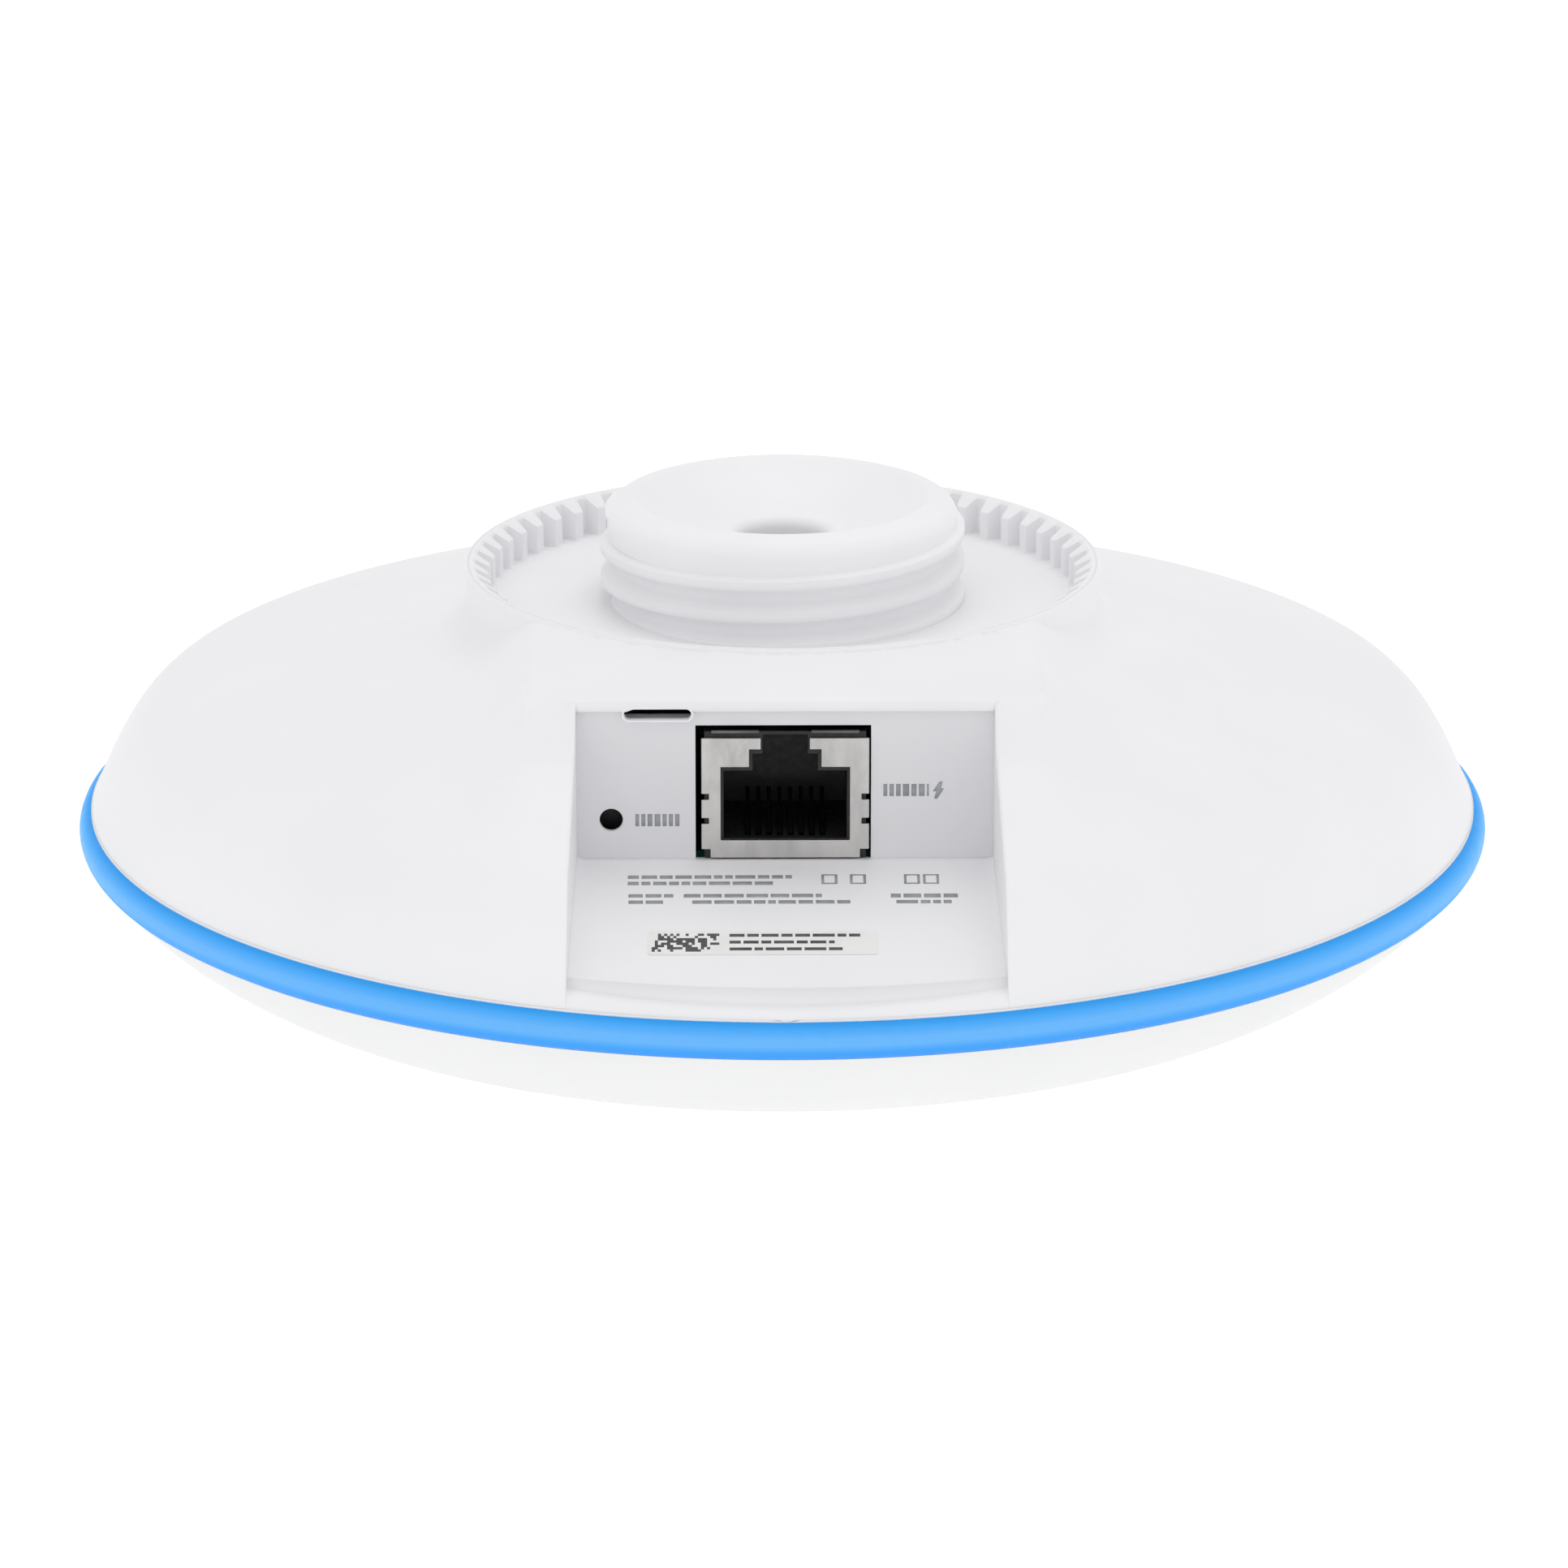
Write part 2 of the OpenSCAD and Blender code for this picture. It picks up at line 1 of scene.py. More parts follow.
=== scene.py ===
"""Disc-shaped radio access point, lying on its round front cover with the threaded post up.

Lengths inside the shape functions are millimetres from the light ring's mid plane, with +Z out of the back
and -Y towards the port. place() turns them into the frame's metres.
"""

import math
import random

import bmesh
import bpy
import numpy as np
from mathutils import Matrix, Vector


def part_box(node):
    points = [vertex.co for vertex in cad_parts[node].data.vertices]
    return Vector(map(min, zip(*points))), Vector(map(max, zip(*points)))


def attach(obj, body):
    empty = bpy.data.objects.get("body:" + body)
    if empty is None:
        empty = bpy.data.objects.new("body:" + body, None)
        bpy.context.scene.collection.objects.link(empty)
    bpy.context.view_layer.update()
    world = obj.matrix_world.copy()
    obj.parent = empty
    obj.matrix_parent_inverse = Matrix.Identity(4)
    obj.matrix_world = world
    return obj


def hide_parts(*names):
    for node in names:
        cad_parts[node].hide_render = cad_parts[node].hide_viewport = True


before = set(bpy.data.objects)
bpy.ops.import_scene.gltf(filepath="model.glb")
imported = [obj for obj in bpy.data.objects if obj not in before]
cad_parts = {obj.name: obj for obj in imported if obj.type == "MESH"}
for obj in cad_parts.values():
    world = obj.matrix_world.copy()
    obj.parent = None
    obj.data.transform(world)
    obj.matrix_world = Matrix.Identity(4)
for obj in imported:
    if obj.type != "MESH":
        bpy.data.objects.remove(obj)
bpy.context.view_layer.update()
MM = 0.001


# ---- sizes taken from the frame

def mm_box(node):
    """A CAD node's box in millimetres about the light ring's mid plane."""
    low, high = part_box(node)
    shift = Vector((0, 0, RING_Z))
    return (low - shift) / MM, (high - shift) / MM


RING_LOW, RING_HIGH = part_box("led_ring")
RING_Z = (RING_LOW.z + RING_HIGH.z) / 2
RING_R = RING_HIGH.x / MM
RING_HALF = (RING_HIGH.z - RING_LOW.z) / 2 / MM
SEAT_Z = -RING_Z / MM
SHELL_HIGH = mm_box("back_shell")[1]
RIM_R = SHELL_HIGH.x
COLLAR_TOP = SHELL_HIGH.z
POST_TOP = mm_box("mount_post")[1].z
COVER_LOW = mm_box("radome_cover")[0].z
JACK_LOW, JACK_HIGH = mm_box("jack_shield")
BUTTON_LOW, BUTTON_HIGH = mm_box("reset_button")
LABEL_LOW, LABEL_HIGH = mm_box("rating_label")

# Driving dimensions of the shapes that the frame's boxes don't give
COLLAR_R = 31.4
TEETH = 60
TOOTH_ROOT_R = 30.4
TOOTH_TIP_R = 29.0
COLLAR_EDGE = 0.3
COLLAR_RIM = 0.75
SHELL_SKIN = 0.22
COLLAR_SKIN = 0.12
FLANGE_WIDE = 2.4
FLANGE_UP = 2.5
POST_HOLE_R = 16.85
WALL_STEEP = math.tan(math.radians(66))
DOME_APEX = 28.36
DOME_FALL = math.tan(math.radians(14.4))
SHOULDER_SOFT = 6.2
BOSS_HALF = 25.0
BOSS_TOP = 24.0
BOSS_LIP_Y = 40.2
BOSS_BREAK_Y = 42.7
BOSS_BREAK_Z = 19.1
BOSS_RAMP_FALL = 0.448
BOSS_FLARE = 0.22
BOSS_SIDE_R = 9.0
BOSS_SOFT = 2.4
LIP_SOFT = 0.5
LIP_END_SOFT = 0.8
LIP_END_RUN = 2.2
BREAK_SOFT = 1.6
BOSS_FADE = (2.0, 14.0)
SWELL_FROM_Y = 8
SWELL_RUN = 16
SWELL_RISE = (1.3, 0.6)
SWELL_REACH = (2.8, 2.4)
SWELL_POWER = 2.3
BAY_HALF = 20.3
BAY_NARROW = -0.55
BAY_WIDE = 0.2
FLARE_FROM = 1.6
FLARE_REACH = 6.3
BAY_EDGE = 0.4
BAY_BACK_Y = 39.6
BAY_TOP = 22.8
BAY_FLOOR = 8.1
BAY_FLOOR_FALL = 5.8 / 28.9
FLOOR_EDGE_SOFT = 1.6
FLOOR_LIFT = 0.3
FLOOR_LIFT_RUN = 0.9
WALL_THICK = 1.8
JACK_ROOM = 0.3
JACK_LEFT_ROOM = 0.25
JACK_RIGHT_TRIM = 0.12
SLOT_BOX = 0.62
RESET_BOX = 2.0
SLOT_AT = (-12.05, 22.52)
SLOT_HALF = 2.65
SLOT_R = 0.54
SLOT_RIM = 0.2
HOLE_DEPTH = 0.5
RESET_X = (BUTTON_LOW.x + BUTTON_HIGH.x) / 2
RESET_Z = (BUTTON_LOW.z + BUTTON_HIGH.z) / 2
RESET_HOLE_R = 1.1
CREST_R = 18.0
ROOT_R = 16.7
PITCH = 3.2
NECK_R = 17.3
NECK_DROP = 1.6
NECK_LOW = 28.95
BROW_R = 16.4
BROW_DROP = 0.5
DISH_R = 26.8
DISH_RIM_R = 14.4
BORE_R = 4.4
BORE_FUNNEL = 1.2
BORE_LOW_Z = 16.4
THREAD_TOP = 31.2
LAST_CREST_Z = 31.3
FRONT_CREST_Z = 22.2
THREAD_TURNS = 5


def place(points):
    """Millimetres about the ring's plane, as metres in the frame."""
    p = np.asarray(points, float) * MM
    p[:, 2] += RING_Z
    return p


# ---- mesh helpers

def make_mesh(name, points, faces, sharp_angle=40.0, merge=0.0):
    """A mesh piece from points in millimetres, shaded smooth except across edges past an angle."""
    data = bpy.data.meshes.new(name)
    data.from_pydata(place(points).tolist(), [], [list(map(int, f)) for f in faces])
    data.validate()
    obj = bpy.data.objects.new(name, data)
    bpy.context.scene.collection.objects.link(obj)
    if merge:
        bm = bmesh.new()
        bm.from_mesh(data)
        bmesh.ops.remove_doubles(bm, verts=bm.verts, dist=merge * MM)
        bmesh.ops.dissolve_degenerate(bm, edges=bm.edges, dist=merge * MM)
        bm.to_mesh(data)
        bm.free()
    data.shade_smooth()
    data.set_sharp_from_angle(angle=math.radians(sharp_angle))
    return obj


def bevel(obj, width, segments=2, angle=35.0):
    mod = obj.modifiers.new("edge", "BEVEL")
    mod.width = width * MM
    mod.segments = segments
    mod.limit_method = "ANGLE"
    mod.angle_limit = math.radians(angle)
    mod.harden_normals = True


def skin(obj, thickness):
    """Gives an open sheet its thickness, on the side away from its normals."""
    mod = obj.modifiers.new("skin", "SOLIDIFY")
    mod.thickness = thickness * MM
    mod.offset = -1
    mod.use_rim = True


def finish_piece(obj, node_or_body, slot, material, *replaced):
    """Puts a piece on its body, gives it its material and hides the CAD nodes it stands for."""
    obj.data.materials.clear()
    obj.data.materials.append(material)
    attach(obj, node_or_body)
    if replaced:
        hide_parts(*replaced)
    return obj


def grid_faces(rows, cols, start=0, closed=False, flip=False):
    """Quads of a grid of points stored row by row."""
    faces = []
    for r in range(rows - 1):
        for c in range(cols if closed else cols - 1):
            a = start + r * cols + c
            b = start + r * cols + (c + 1) % cols
            quad = (a, b, b + cols, a + cols)
            faces.append(quad[::-1] if flip else quad)
    return faces


def revolve(profile, segments=256, closed=False):
    """Points and faces of a profile of (radius, height) turned about the Z axis."""
    turn = np.arange(segments) * 2 * math.pi / segments
    points = np.vstack([
        np.column_stack([r * np.cos(turn), r * np.sin(turn), np.full(segments, z)]) for r, z in profile])
    faces = grid_faces(len(profile), segments, closed=True)
    if closed:
        last = (len(profile) - 1) * segments
        for c in range(segments):
            d = (c + 1) % segments
            faces.append((last + c, last + d, d, c))
    return points, faces


def arc(centre, radius, start, end, steps):
    """Points on an arc in a radial section, angles in degrees from the outward direction."""
    return [
        (centre[0] + radius * math.cos(math.radians(a)), centre[1] + radius * math.sin(math.radians(a)))
        for a in np.linspace(start, end, steps)
    ]


def plate(name, xs, zs, filled, front_y, depth, sharp_angle=30.0):
    """A plate in X and Z, made of the grid's cells that filled(x, z) accepts. Its front faces -Y."""
    xs, zs = sorted(set(np.round(xs, 4))), sorted(set(np.round(zs, 4)))
    nx, nz = len(xs), len(zs)
    cell = {
        (i, k): filled((xs[i] + xs[i + 1]) / 2, (zs[k] + zs[k + 1]) / 2)
        for i in range(nx - 1) for k in range(nz - 1)
    }
    points = [(x, front_y + d, z) for d in (0, depth) for z in zs for x in xs]

    def at(side, i, k):
        return side * nx * nz + k * nx + i

    faces = []
    for (i, k), on in cell.items():
        if not on:
            continue
        faces.append((at(0, i, k), at(0, i + 1, k), at(0, i + 1, k + 1), at(0, i, k + 1)))
        faces.append((at(1, i, k), at(1, i, k + 1), at(1, i + 1, k + 1), at(1, i + 1, k)))
        if not cell.get((i - 1, k)):
            faces.append((at(0, i, k), at(0, i, k + 1), at(1, i, k + 1), at(1, i, k)))
        if not cell.get((i + 1, k)):
            faces.append((at(0, i + 1, k), at(1, i + 1, k), at(1, i + 1, k + 1), at(0, i + 1, k + 1)))
        if not cell.get((i, k - 1)):
            faces.append((at(0, i, k), at(1, i, k), at(1, i + 1, k), at(0, i + 1, k)))
        if not cell.get((i, k + 1)):
            faces.append((at(0, i, k + 1), at(0, i + 1, k + 1), at(1, i + 1, k + 1), at(1, i, k + 1)))
    used = sorted({v for f in faces for v in f})
    new = {v: n for n, v in enumerate(used)}
    return make_mesh(name, [points[v] for v in used], [[new[v] for v in f] for f in faces], sharp_angle)


def rounded_box(name, low, high, edge, segments=2):
    """A box in millimetres with softened edges."""
    (x0, y0, z0), (x1, y1, z1) = low, high
    points = [(x, y, z) for z in (z0, z1) for y in (y0, y1) for x in (x0, x1)]
    faces = [(0, 2, 3, 1), (4, 5, 7, 6), (0, 1, 5, 4), (2, 6, 7, 3), (0, 4, 6, 2), (1, 3, 7, 5)]
    obj = make_mesh(name, points, faces, 30)
    bevel(obj, edge, segments)
    return obj


# ---- back shell

def soft_min(a, b, reach):
    h = np.maximum(reach - np.abs(a - b), 0) / reach
    return np.minimum(a, b) - h * h * reach / 4


def soft_max(a, b, reach):
    return -soft_min(-a, -b, reach)


def wall_height(r):
    """The steep cone above the light ring."""
    return RING_HALF + (RIM_R - r) * WALL_STEEP


def dome_height(r):
    return DOME_APEX - DOME_FALL * r


def smooth_step(t):
    t = np.clip(t, 0, 1)
    return t * t * (3 - 2 * t)


def boss_height(x, y):
    """The boss's section along Y: flat top, steep front, long ramp. y is positive towards the port."""
    front = BOSS_TOP - (y - BOSS_LIP_Y) * (BOSS_TOP - BOSS_BREAK_Z) / (BOSS_BREAK_Y - BOSS_LIP_Y)
    ramp = BOSS_BREAK_Z - BOSS_RAMP_FALL * (y - BOSS_BREAK_Y)
    reach = LIP_SOFT + (BOSS_SOFT + LIP_END_SOFT - LIP_SOFT) * smooth_step(
        (np.abs(x) - SECTOR_HALF) / LIP_END_RUN)
    return soft_min(BOSS_TOP, soft_max(front, ramp, BREAK_SOFT), reach)


def boss_half_width(y):
    return BOSS_HALF + np.maximum(y - BOSS_BREAK_Y, 0) * BOSS_FLARE


def shell_height(x, y):
    """Height of the shell's outside over a place in plan. y is positive towards the port."""
    r = np.hypot(x, y)
    dome = dome_height(r)
    start, full = BOSS_FADE
    edge_top = dome + (boss_height(x, y) - dome) * smooth_step((y - start) / (full - start))
    rise = np.clip(edge_top - dome, 0.0, BOSS_SIDE_R * 0.98)
    beyond = np.abs(x) - boss_half_width(y)
    foot = np.sqrt(np.maximum(2 * BOSS_SIDE_R * rise - rise * rise, 0))
    inside = np.clip(foot - beyond, 0, BOSS_SIDE_R * 0.998)
    fillet = dome + BOSS_SIDE_R - np.sqrt(BOSS_SIDE_R ** 2 - inside ** 2)
    side = soft_min(edge_top, fillet, BOSS_SOFT)
    front_side = np.where(y > start, np.maximum(side, dome), dome)
    top = soft_min(wall_height(r), front_side, SHOULDER_SOFT)
    front_share = smooth_step((y - SWELL_FROM_Y) / SWELL_RUN)
    swell = np.clip(1 - (r - COLLAR_R) / (SWELL_REACH[0] + SWELL_REACH[1] * front_share), 0, 1)
    return top + (SWELL_RISE[0] + SWELL_RISE[1] * front_share) * swell ** SWELL_POWER


SECTOR = 55
LINES = 480
LIP_Y = BOSS_LIP_Y - BAY_EDGE
SECTOR_HALF = BAY_HALF + BAY_EDGE


def row_radii():
    """Radii of the shell's rows, closer where the surface bends, with one through the bay's corner."""
    corner = math.hypot(SECTOR_HALF, LIP_Y)
    inner = np.concatenate([
        np.linspace(COLLAR_R, COLLAR_R + 2.4, 9), np.linspace(34.4, corner - 0.5, 14), [corner],
    ])
    outer = np.concatenate([
        corner + np.array([0.25, 0.5, 0.8, 1.1, 1.4, 1.7, 2.0, 2.4, 2.9]),
        np.linspace(corner + 3.6, 60, 12)[:-1], np.linspace(60, RIM_R, 26),
    ])
    return inner, outer


def sheared_lines():
    """Where each line leaves the collar and meets the rim, in plan."""
    index = np.arange(-LINES // 2, LINES // 2)
    turn = np.radians(index * 360 / LINES)
    start = COLLAR_R * np.column_stack([np.sin(turn), np.cos(turn)])
    scale = COLLAR_R * math.sin(math.radians(SECTOR * 360 / LINES)) / SECTOR_HALF
    start_x = start[:, 0] / scale
    first = math.asin(SECTOR_HALF / RIM_R)
    side = np.sign(index)
    beyond = np.clip(np.abs(index) - SECTOR, 0, None) / (LINES / 2 - SECTOR)
    wide = side * (first + beyond * (math.pi - first))
    end = RIM_R * np.column_stack([np.sin(wide), np.cos(wide)])
    inside = np.abs(index) <= SECTOR
    end[inside, 0] = start_x[inside]
    end[inside, 1] = np.sqrt(RIM_R ** 2 - start_x[inside] ** 2)
    return start, end, inside


def on_circle(start, end, radius):
    """The point of each line at a radius."""
    d = end - start
    a = (d * d).sum(1)
    b = 2 * (start * d).sum(1)
    c = (start * start).sum(1) - radius ** 2
    t = (-b + np.sqrt(np.maximum(b * b - 4 * a * c, 0))) / (2 * a)
    return start + d * t[:, None]


def bay_flare(x, y):
    """Shift in X that makes the bay's mouth narrower at the lip than at the shell's rim."""
    along = min(max((y - BAY_BACK_Y) / (RIM_R - BAY_BACK_Y), 0), 1)
    behind = min(max((y - COLLAR_R - FLARE_FROM) / (BAY_BACK_Y - COLLAR_R - FLARE_FROM), 0), 1)
    share = min(abs(x) / SECTOR_HALF, max(1 - (abs(x) - SECTOR_HALF) / FLARE_REACH, 0))
    shift = (BAY_NARROW + (BAY_WIDE - BAY_NARROW) * along) * behind * share
    return shift if x > 0 else -shift


def bay_floor_height(x, y):
    """The bay's sloping floor, rounded over the shell's edge."""
    floor = BAY_FLOOR - (y - BAY_BACK_Y) * BAY_FLOOR_FALL
    return soft_min(floor, wall_height(np.hypot(x, y)), FLOOR_EDGE_SOFT)


def bay_ceiling(x):
    """The bay's ceiling, notched where the latch slot cuts up into the lip."""
    beyond = max(abs(x - SLOT_AT[0]) - SLOT_HALF, 0)
    return max(BAY_TOP, SLOT_AT[1] + math.sqrt(SLOT_R ** 2 - beyond ** 2)) if beyond < SLOT_R else BAY_TOP


class Sheet:
    """Collects points and faces of a mesh whose parts share points."""

    def __init__(self):
        self.points = []
        self.faces = []

    def add(self, x, y, z):
        self.points.append((x, -y, z))
        return len(self.points) - 1

    def strip(self, a, b):
        """Quads between two runs of points."""
        for i in range(len(a) - 1):
            self.faces.append((a[i], b[i], b[i + 1], a[i + 1]))


def shell_outside(sheet):
    """The shell's outside round the bay. Returns its rows, the lip's points and the mouth's two sides."""
    inner, outer = row_radii()
    radii = np.concatenate([inner, outer])
    corner_row = len(inner) - 1
    start, end, inside = sheared_lines()
    middle = LINES // 2
    left, right = middle - SECTOR, middle + SECTOR
    lines = []
    for row, radius in enumerate(radii):
        at = on_circle(start, end, radius)
        if row <= corner_row:
            share = (at[right, 1] - start[right, 1]) / (LIP_Y - start[right, 1])
            y = start[inside, 1] + share * (LIP_Y - start[inside, 1])
            x = start[inside, 0] + share * (end[inside, 0] - start[inside, 0])
            at[inside] = np.column_stack([x, y])
        z = shell_height(at[:, 0], at[:, 1])
        if row == len(radii) - 1:
            z[:] = RING_HALF
        run = {}
        for i in range(LINES):
            if row > corner_row and left < i < right:
                continue
            run[i] = sheet.add(at[i, 0], at[i, 1], z[i])
        lines.append(run)
    for row in range(len(radii) - 1):
        for i in range(LINES):
            j = (i + 1) % LINES
            a, b = lines[row], lines[row + 1]
            if i in a and j in a and i in b and j in b and not (row >= corner_row and left <= i < right):
                sheet.faces.append((a[i], b[i], b[j], a[j]))
    lip = [lines[corner_row][i] for i in range(left, right + 1)]
    sides = [[lines[row][i] for row in range(corner_row, len(radii))] for i in (left, right)]
    return lines, lip, sides


EDGE_TURNS = np.radians([22.5, 45, 67.5, 90])
BEHIND_WALL = [BAY_BACK_Y - 0.2, BAY_BACK_Y + 0.5]


def edge_drop(turn):
    """How far the mouth's rounded edge has dropped after a turn."""
    return BAY_EDGE * 0.9 * (1 - math.cos(turn))


def bay_lip(sheet, lip):
    """The lip's rounded edge and the ceiling under it. Returns the rounded edge's rows."""
    lip_points = np.array([sheet.points[i] for i in lip])
    rounded = []
    for t in EDGE_TURNS:
        share = (SECTOR_HALF - BAY_EDGE * math.sin(t)) / SECTOR_HALF
        rounded.append([sheet.add(x * share, LIP_Y + BAY_EDGE * math.sin(t), z - edge_drop(t))
                        for x, z in zip(lip_points[:, 0], lip_points[:, 2])])
    for a, b in zip([lip] + rounded[:-1], rounded):
        sheet.strip(a, b)
    edge_x = [sheet.points[i][0] for i in rounded[-1]]
    run = rounded[-1]
    for y, up in ((LIP_Y + BAY_EDGE, 0.06), (LIP_Y + BAY_EDGE - 0.06, 0), (BEHIND_WALL[0], 0)):
        following = [sheet.add(x, y, bay_ceiling(x) + up) for x in edge_x]
        sheet.strip(run, following)
        run = following
    return rounded


def mouth_side(sheet, side, sign, rounded):
    """The rounded edge of one side of the bay's mouth. Returns its inner run of points."""
    plan = np.array([(sheet.points[i][0], -sheet.points[i][1], sheet.points[i][2]) for i in side])
    runs = [side]
    for row, t in zip(rounded, EDGE_TURNS):
        x = sign * (SECTOR_HALF - BAY_EDGE * math.sin(t))
        lip_y = LIP_Y + BAY_EDGE * math.sin(t)
        rim_y = math.sqrt(RIM_R ** 2 - x * x)
        stretch = (rim_y - lip_y) / (plan[-1, 1] - LIP_Y)
        y = lip_y + (plan[:, 1] - LIP_Y) * stretch
        z = np.maximum(shell_height(np.full_like(y, x), y) - edge_drop(t), bay_floor_height(x, y))
        z[-1] = RING_HALF
        corner = row[0] if sign < 0 else row[-1]
        runs.append([corner] + [sheet.add(x, y[i], z[i]) for i in range(1, len(y))])
    for a, b in zip(runs[:-1], runs[1:]):
        sheet.strip(a, b) if sign > 0 else sheet.strip(b, a)
    return runs[-1]


def bay_side_wall(sheet, edge, sign):
    """One side wall of the bay, from the mouth's edge and the ceiling down to the floor."""
    levels = np.concatenate([[0, 0.02, 0.035], np.linspace(0.1, 0.9, 9), [0.96, 0.985, 1]])
    x = sign * BAY_HALF
    column = {}
    for row, top in enumerate(edge):
        y, z0 = -sheet.points[top][1], sheet.points[top][2]
        z1 = RING_HALF if row == len(edge) - 1 else float(bay_floor_height(x, y))
        column[row] = [top] + [sheet.add(x, y, z0 + (z1 - z0) * f) for f in levels[1:]]
    for n, y in enumerate(BEHIND_WALL):
        fall = float(bay_floor_height(x, y)) - BAY_TOP
        column[n - 2] = [None] + [
            sheet.add(x, y, BAY_TOP + fall * (f - levels[1]) / (1 - levels[1])) for f in levels[1:]
        ]
    for row in range(-2, len(edge) - 1):
        a, b = column[row], column[row + 1]
        for f in range(1 if row < 0 else 0, len(levels) - 1):
            quad = (a[f], a[f + 1], b[f + 1], b[f])
            sheet.faces.append(quad[::-1] if sign < 0 else quad)


def bay_floor(sheet, edge):
    """The bay's floor, with a small fillet at each side, in rows that match the side walls."""
    floor_rows = np.array(BEHIND_WALL + [-sheet.points[i][1] for i in edge])
    shares = (floor_rows - floor_rows[0]) / (floor_rows[-1] - floor_rows[0])
    across = np.concatenate([
        [-BAY_HALF, -BAY_HALF + 0.12, -BAY_HALF + 0.35, -BAY_HALF + 0.8], np.linspace(-18.8, 18.8, 41),
        [BAY_HALF - 0.8, BAY_HALF - 0.35, BAY_HALF - 0.12, BAY_HALF],
    ])
    runs = []
    for share in shares:
        run = []
        for x in across:
            rim_y = math.sqrt(RIM_R ** 2 - x * x)
            y = floor_rows[0] + share * (rim_y - floor_rows[0])
            lift = FLOOR_LIFT * max(0.0, 1 - (BAY_HALF - abs(x)) / FLOOR_LIFT_RUN) ** 2.5
            z = float(bay_floor_height(x, y)) + (0 if share > 0.9 else lift)
            run.append(sheet.add(x, y, RING_HALF if share == 1 else z))
        runs.append(run)
    for a, b in zip(runs[:-1], runs[1:]):
        sheet.strip(a, b)


def bay_surfaces(sheet, lip, sides):
    """The port bay: the lip and ceiling, then each side's edge and wall, then the floor."""
    rounded = bay_lip(sheet, lip)
    for side, sign in zip(sides, (-1, 1)):
        edge = mouth_side(sheet, side, sign, rounded)
        bay_side_wall(sheet, edge, sign)
    bay_floor(sheet, edge)


def shell_flange(sheet):
    """The flat seat under the shell's rim that lies on the light ring."""
    steps = 240
    runs = []
    for r, z in ((RIM_R, RING_HALF), (RIM_R - FLANGE_WIDE, RING_HALF),
                 (RIM_R - FLANGE_WIDE - 0.2, RING_HALF + FLANGE_UP)):
        turn = np.arange(steps + 1) * 2 * math.pi / steps
        runs.append([sheet.add(r * math.sin(a), r * math.cos(a), z) for a in turn])
    for a, b in zip(runs[:-1], runs[1:]):
        sheet.strip(a, b)


def collar_outside(sheet, first_run):
    """The collar's outer wall and the outer part of its rim, from the shell's first row up."""
    run = [first_run[i] for i in range(LINES)] + [first_run[0]]
    plan = [(sheet.points[i][0] / COLLAR_R, -sheet.points[i][1] / COLLAR_R) for i in run]
    profile = [(COLLAR_R, COLLAR_TOP - 1.2), (COLLAR_R, COLLAR_TOP - COLLAR_EDGE),
               (COLLAR_R - 0.09, COLLAR_TOP - 0.09), (COLLAR_R - COLLAR_EDGE, COLLAR_TOP)]
    for r, z in profile:
        following = [sheet.add(r * u, r * v, z) for u, v in plan[:-1]]
        following.append(following[0])
        sheet.strip(following, run)
        run = following


def tooth_wave(samples):
    """0 at a tooth's root and 1 at its tip, for each sample of one pitch."""
    phase = (np.arange(samples) + 0.5) / samples
    distance = np.abs(phase - 0.5) * 2
    t = np.clip((0.66 - distance) / 0.32, 0, 1)
    return t * t * (3 - 2 * t)


def collar_inside(sheet):
    """The teeth inside the collar, the recess floor and the hole for the post."""
    samples = 20
    count = TEETH * samples
    wave = np.tile(tooth_wave(samples), TEETH)
    turn = np.arange(count) * 2 * math.pi / count
    face_r = TOOTH_ROOT_R - (TOOTH_ROOT_R - TOOTH_TIP_R) * wave
    top = COLLAR_TOP - 0.15 - 0.85 * wave
    rim_in = COLLAR_R - COLLAR_RIM
    rows = [(np.full(count, COLLAR_R - COLLAR_EDGE), np.full(count, COLLAR_TOP)),
            (np.full(count, rim_in), np.full(count, COLLAR_TOP))]
    for f in (0.3, 0.65):
        rows.append((rim_in + (face_r + 0.12 - rim_in) * f, COLLAR_TOP + (top - COLLAR_TOP) * f))
    rows += [(face_r + 0.12, top), (face_r + 0.03, top - 0.05), (face_r, top - 0.16),
             (face_r, (top + SEAT_Z) / 2), (face_r, np.full(count, SEAT_Z + 0.2)),
             (face_r - 0.05, np.full(count, SEAT_Z + 0.06)), (face_r - 0.2, np.full(count, SEAT_Z))]
    recess = [(r, SEAT_Z) for r in (27.5, 24, 21, POST_HOLE_R + 0.4)]
    recess += [(POST_HOLE_R + 0.1, SEAT_Z - 0.1), (POST_HOLE_R, SEAT_Z - 0.4), (POST_HOLE_R, SEAT_Z - 3)]
    rows += [(np.full(count, r), np.full(count, z)) for r, z in recess]
    previous = None
    for r, z in rows:
        run = [sheet.add(r[i] * math.sin(turn[i]), r[i] * math.cos(turn[i]), z[i]) for i in range(count)]
        run.append(run[0])
        if previous:
            sheet.strip(run, previous)
        previous = run


def build_back_shell():
    sheet = Sheet()
    lines, lip, sides = shell_outside(sheet)
    bay_surfaces(sheet, lip, sides)
    collar_outside(sheet, lines[0])
    shell_flange(sheet)
    points = [(x + bay_flare(x, -y), y, z) for x, y, z in sheet.points]
    obj = make_mesh("back_shell_moulding", points, sheet.faces, 55, merge=0.004)
    skin(obj, SHELL_SKIN)
    finish_piece(obj, "housing", "housing_white", shell_plastic(), "back_shell")


def build_collar():
    sheet = Sheet()
    collar_inside(sheet)
    obj = make_mesh("collar_teeth", sheet.points, sheet.faces, 50)
    skin(obj, COLLAR_SKIN)
    finish_piece(obj, "housing", "housing_white", shell_plastic(), "back_shell")


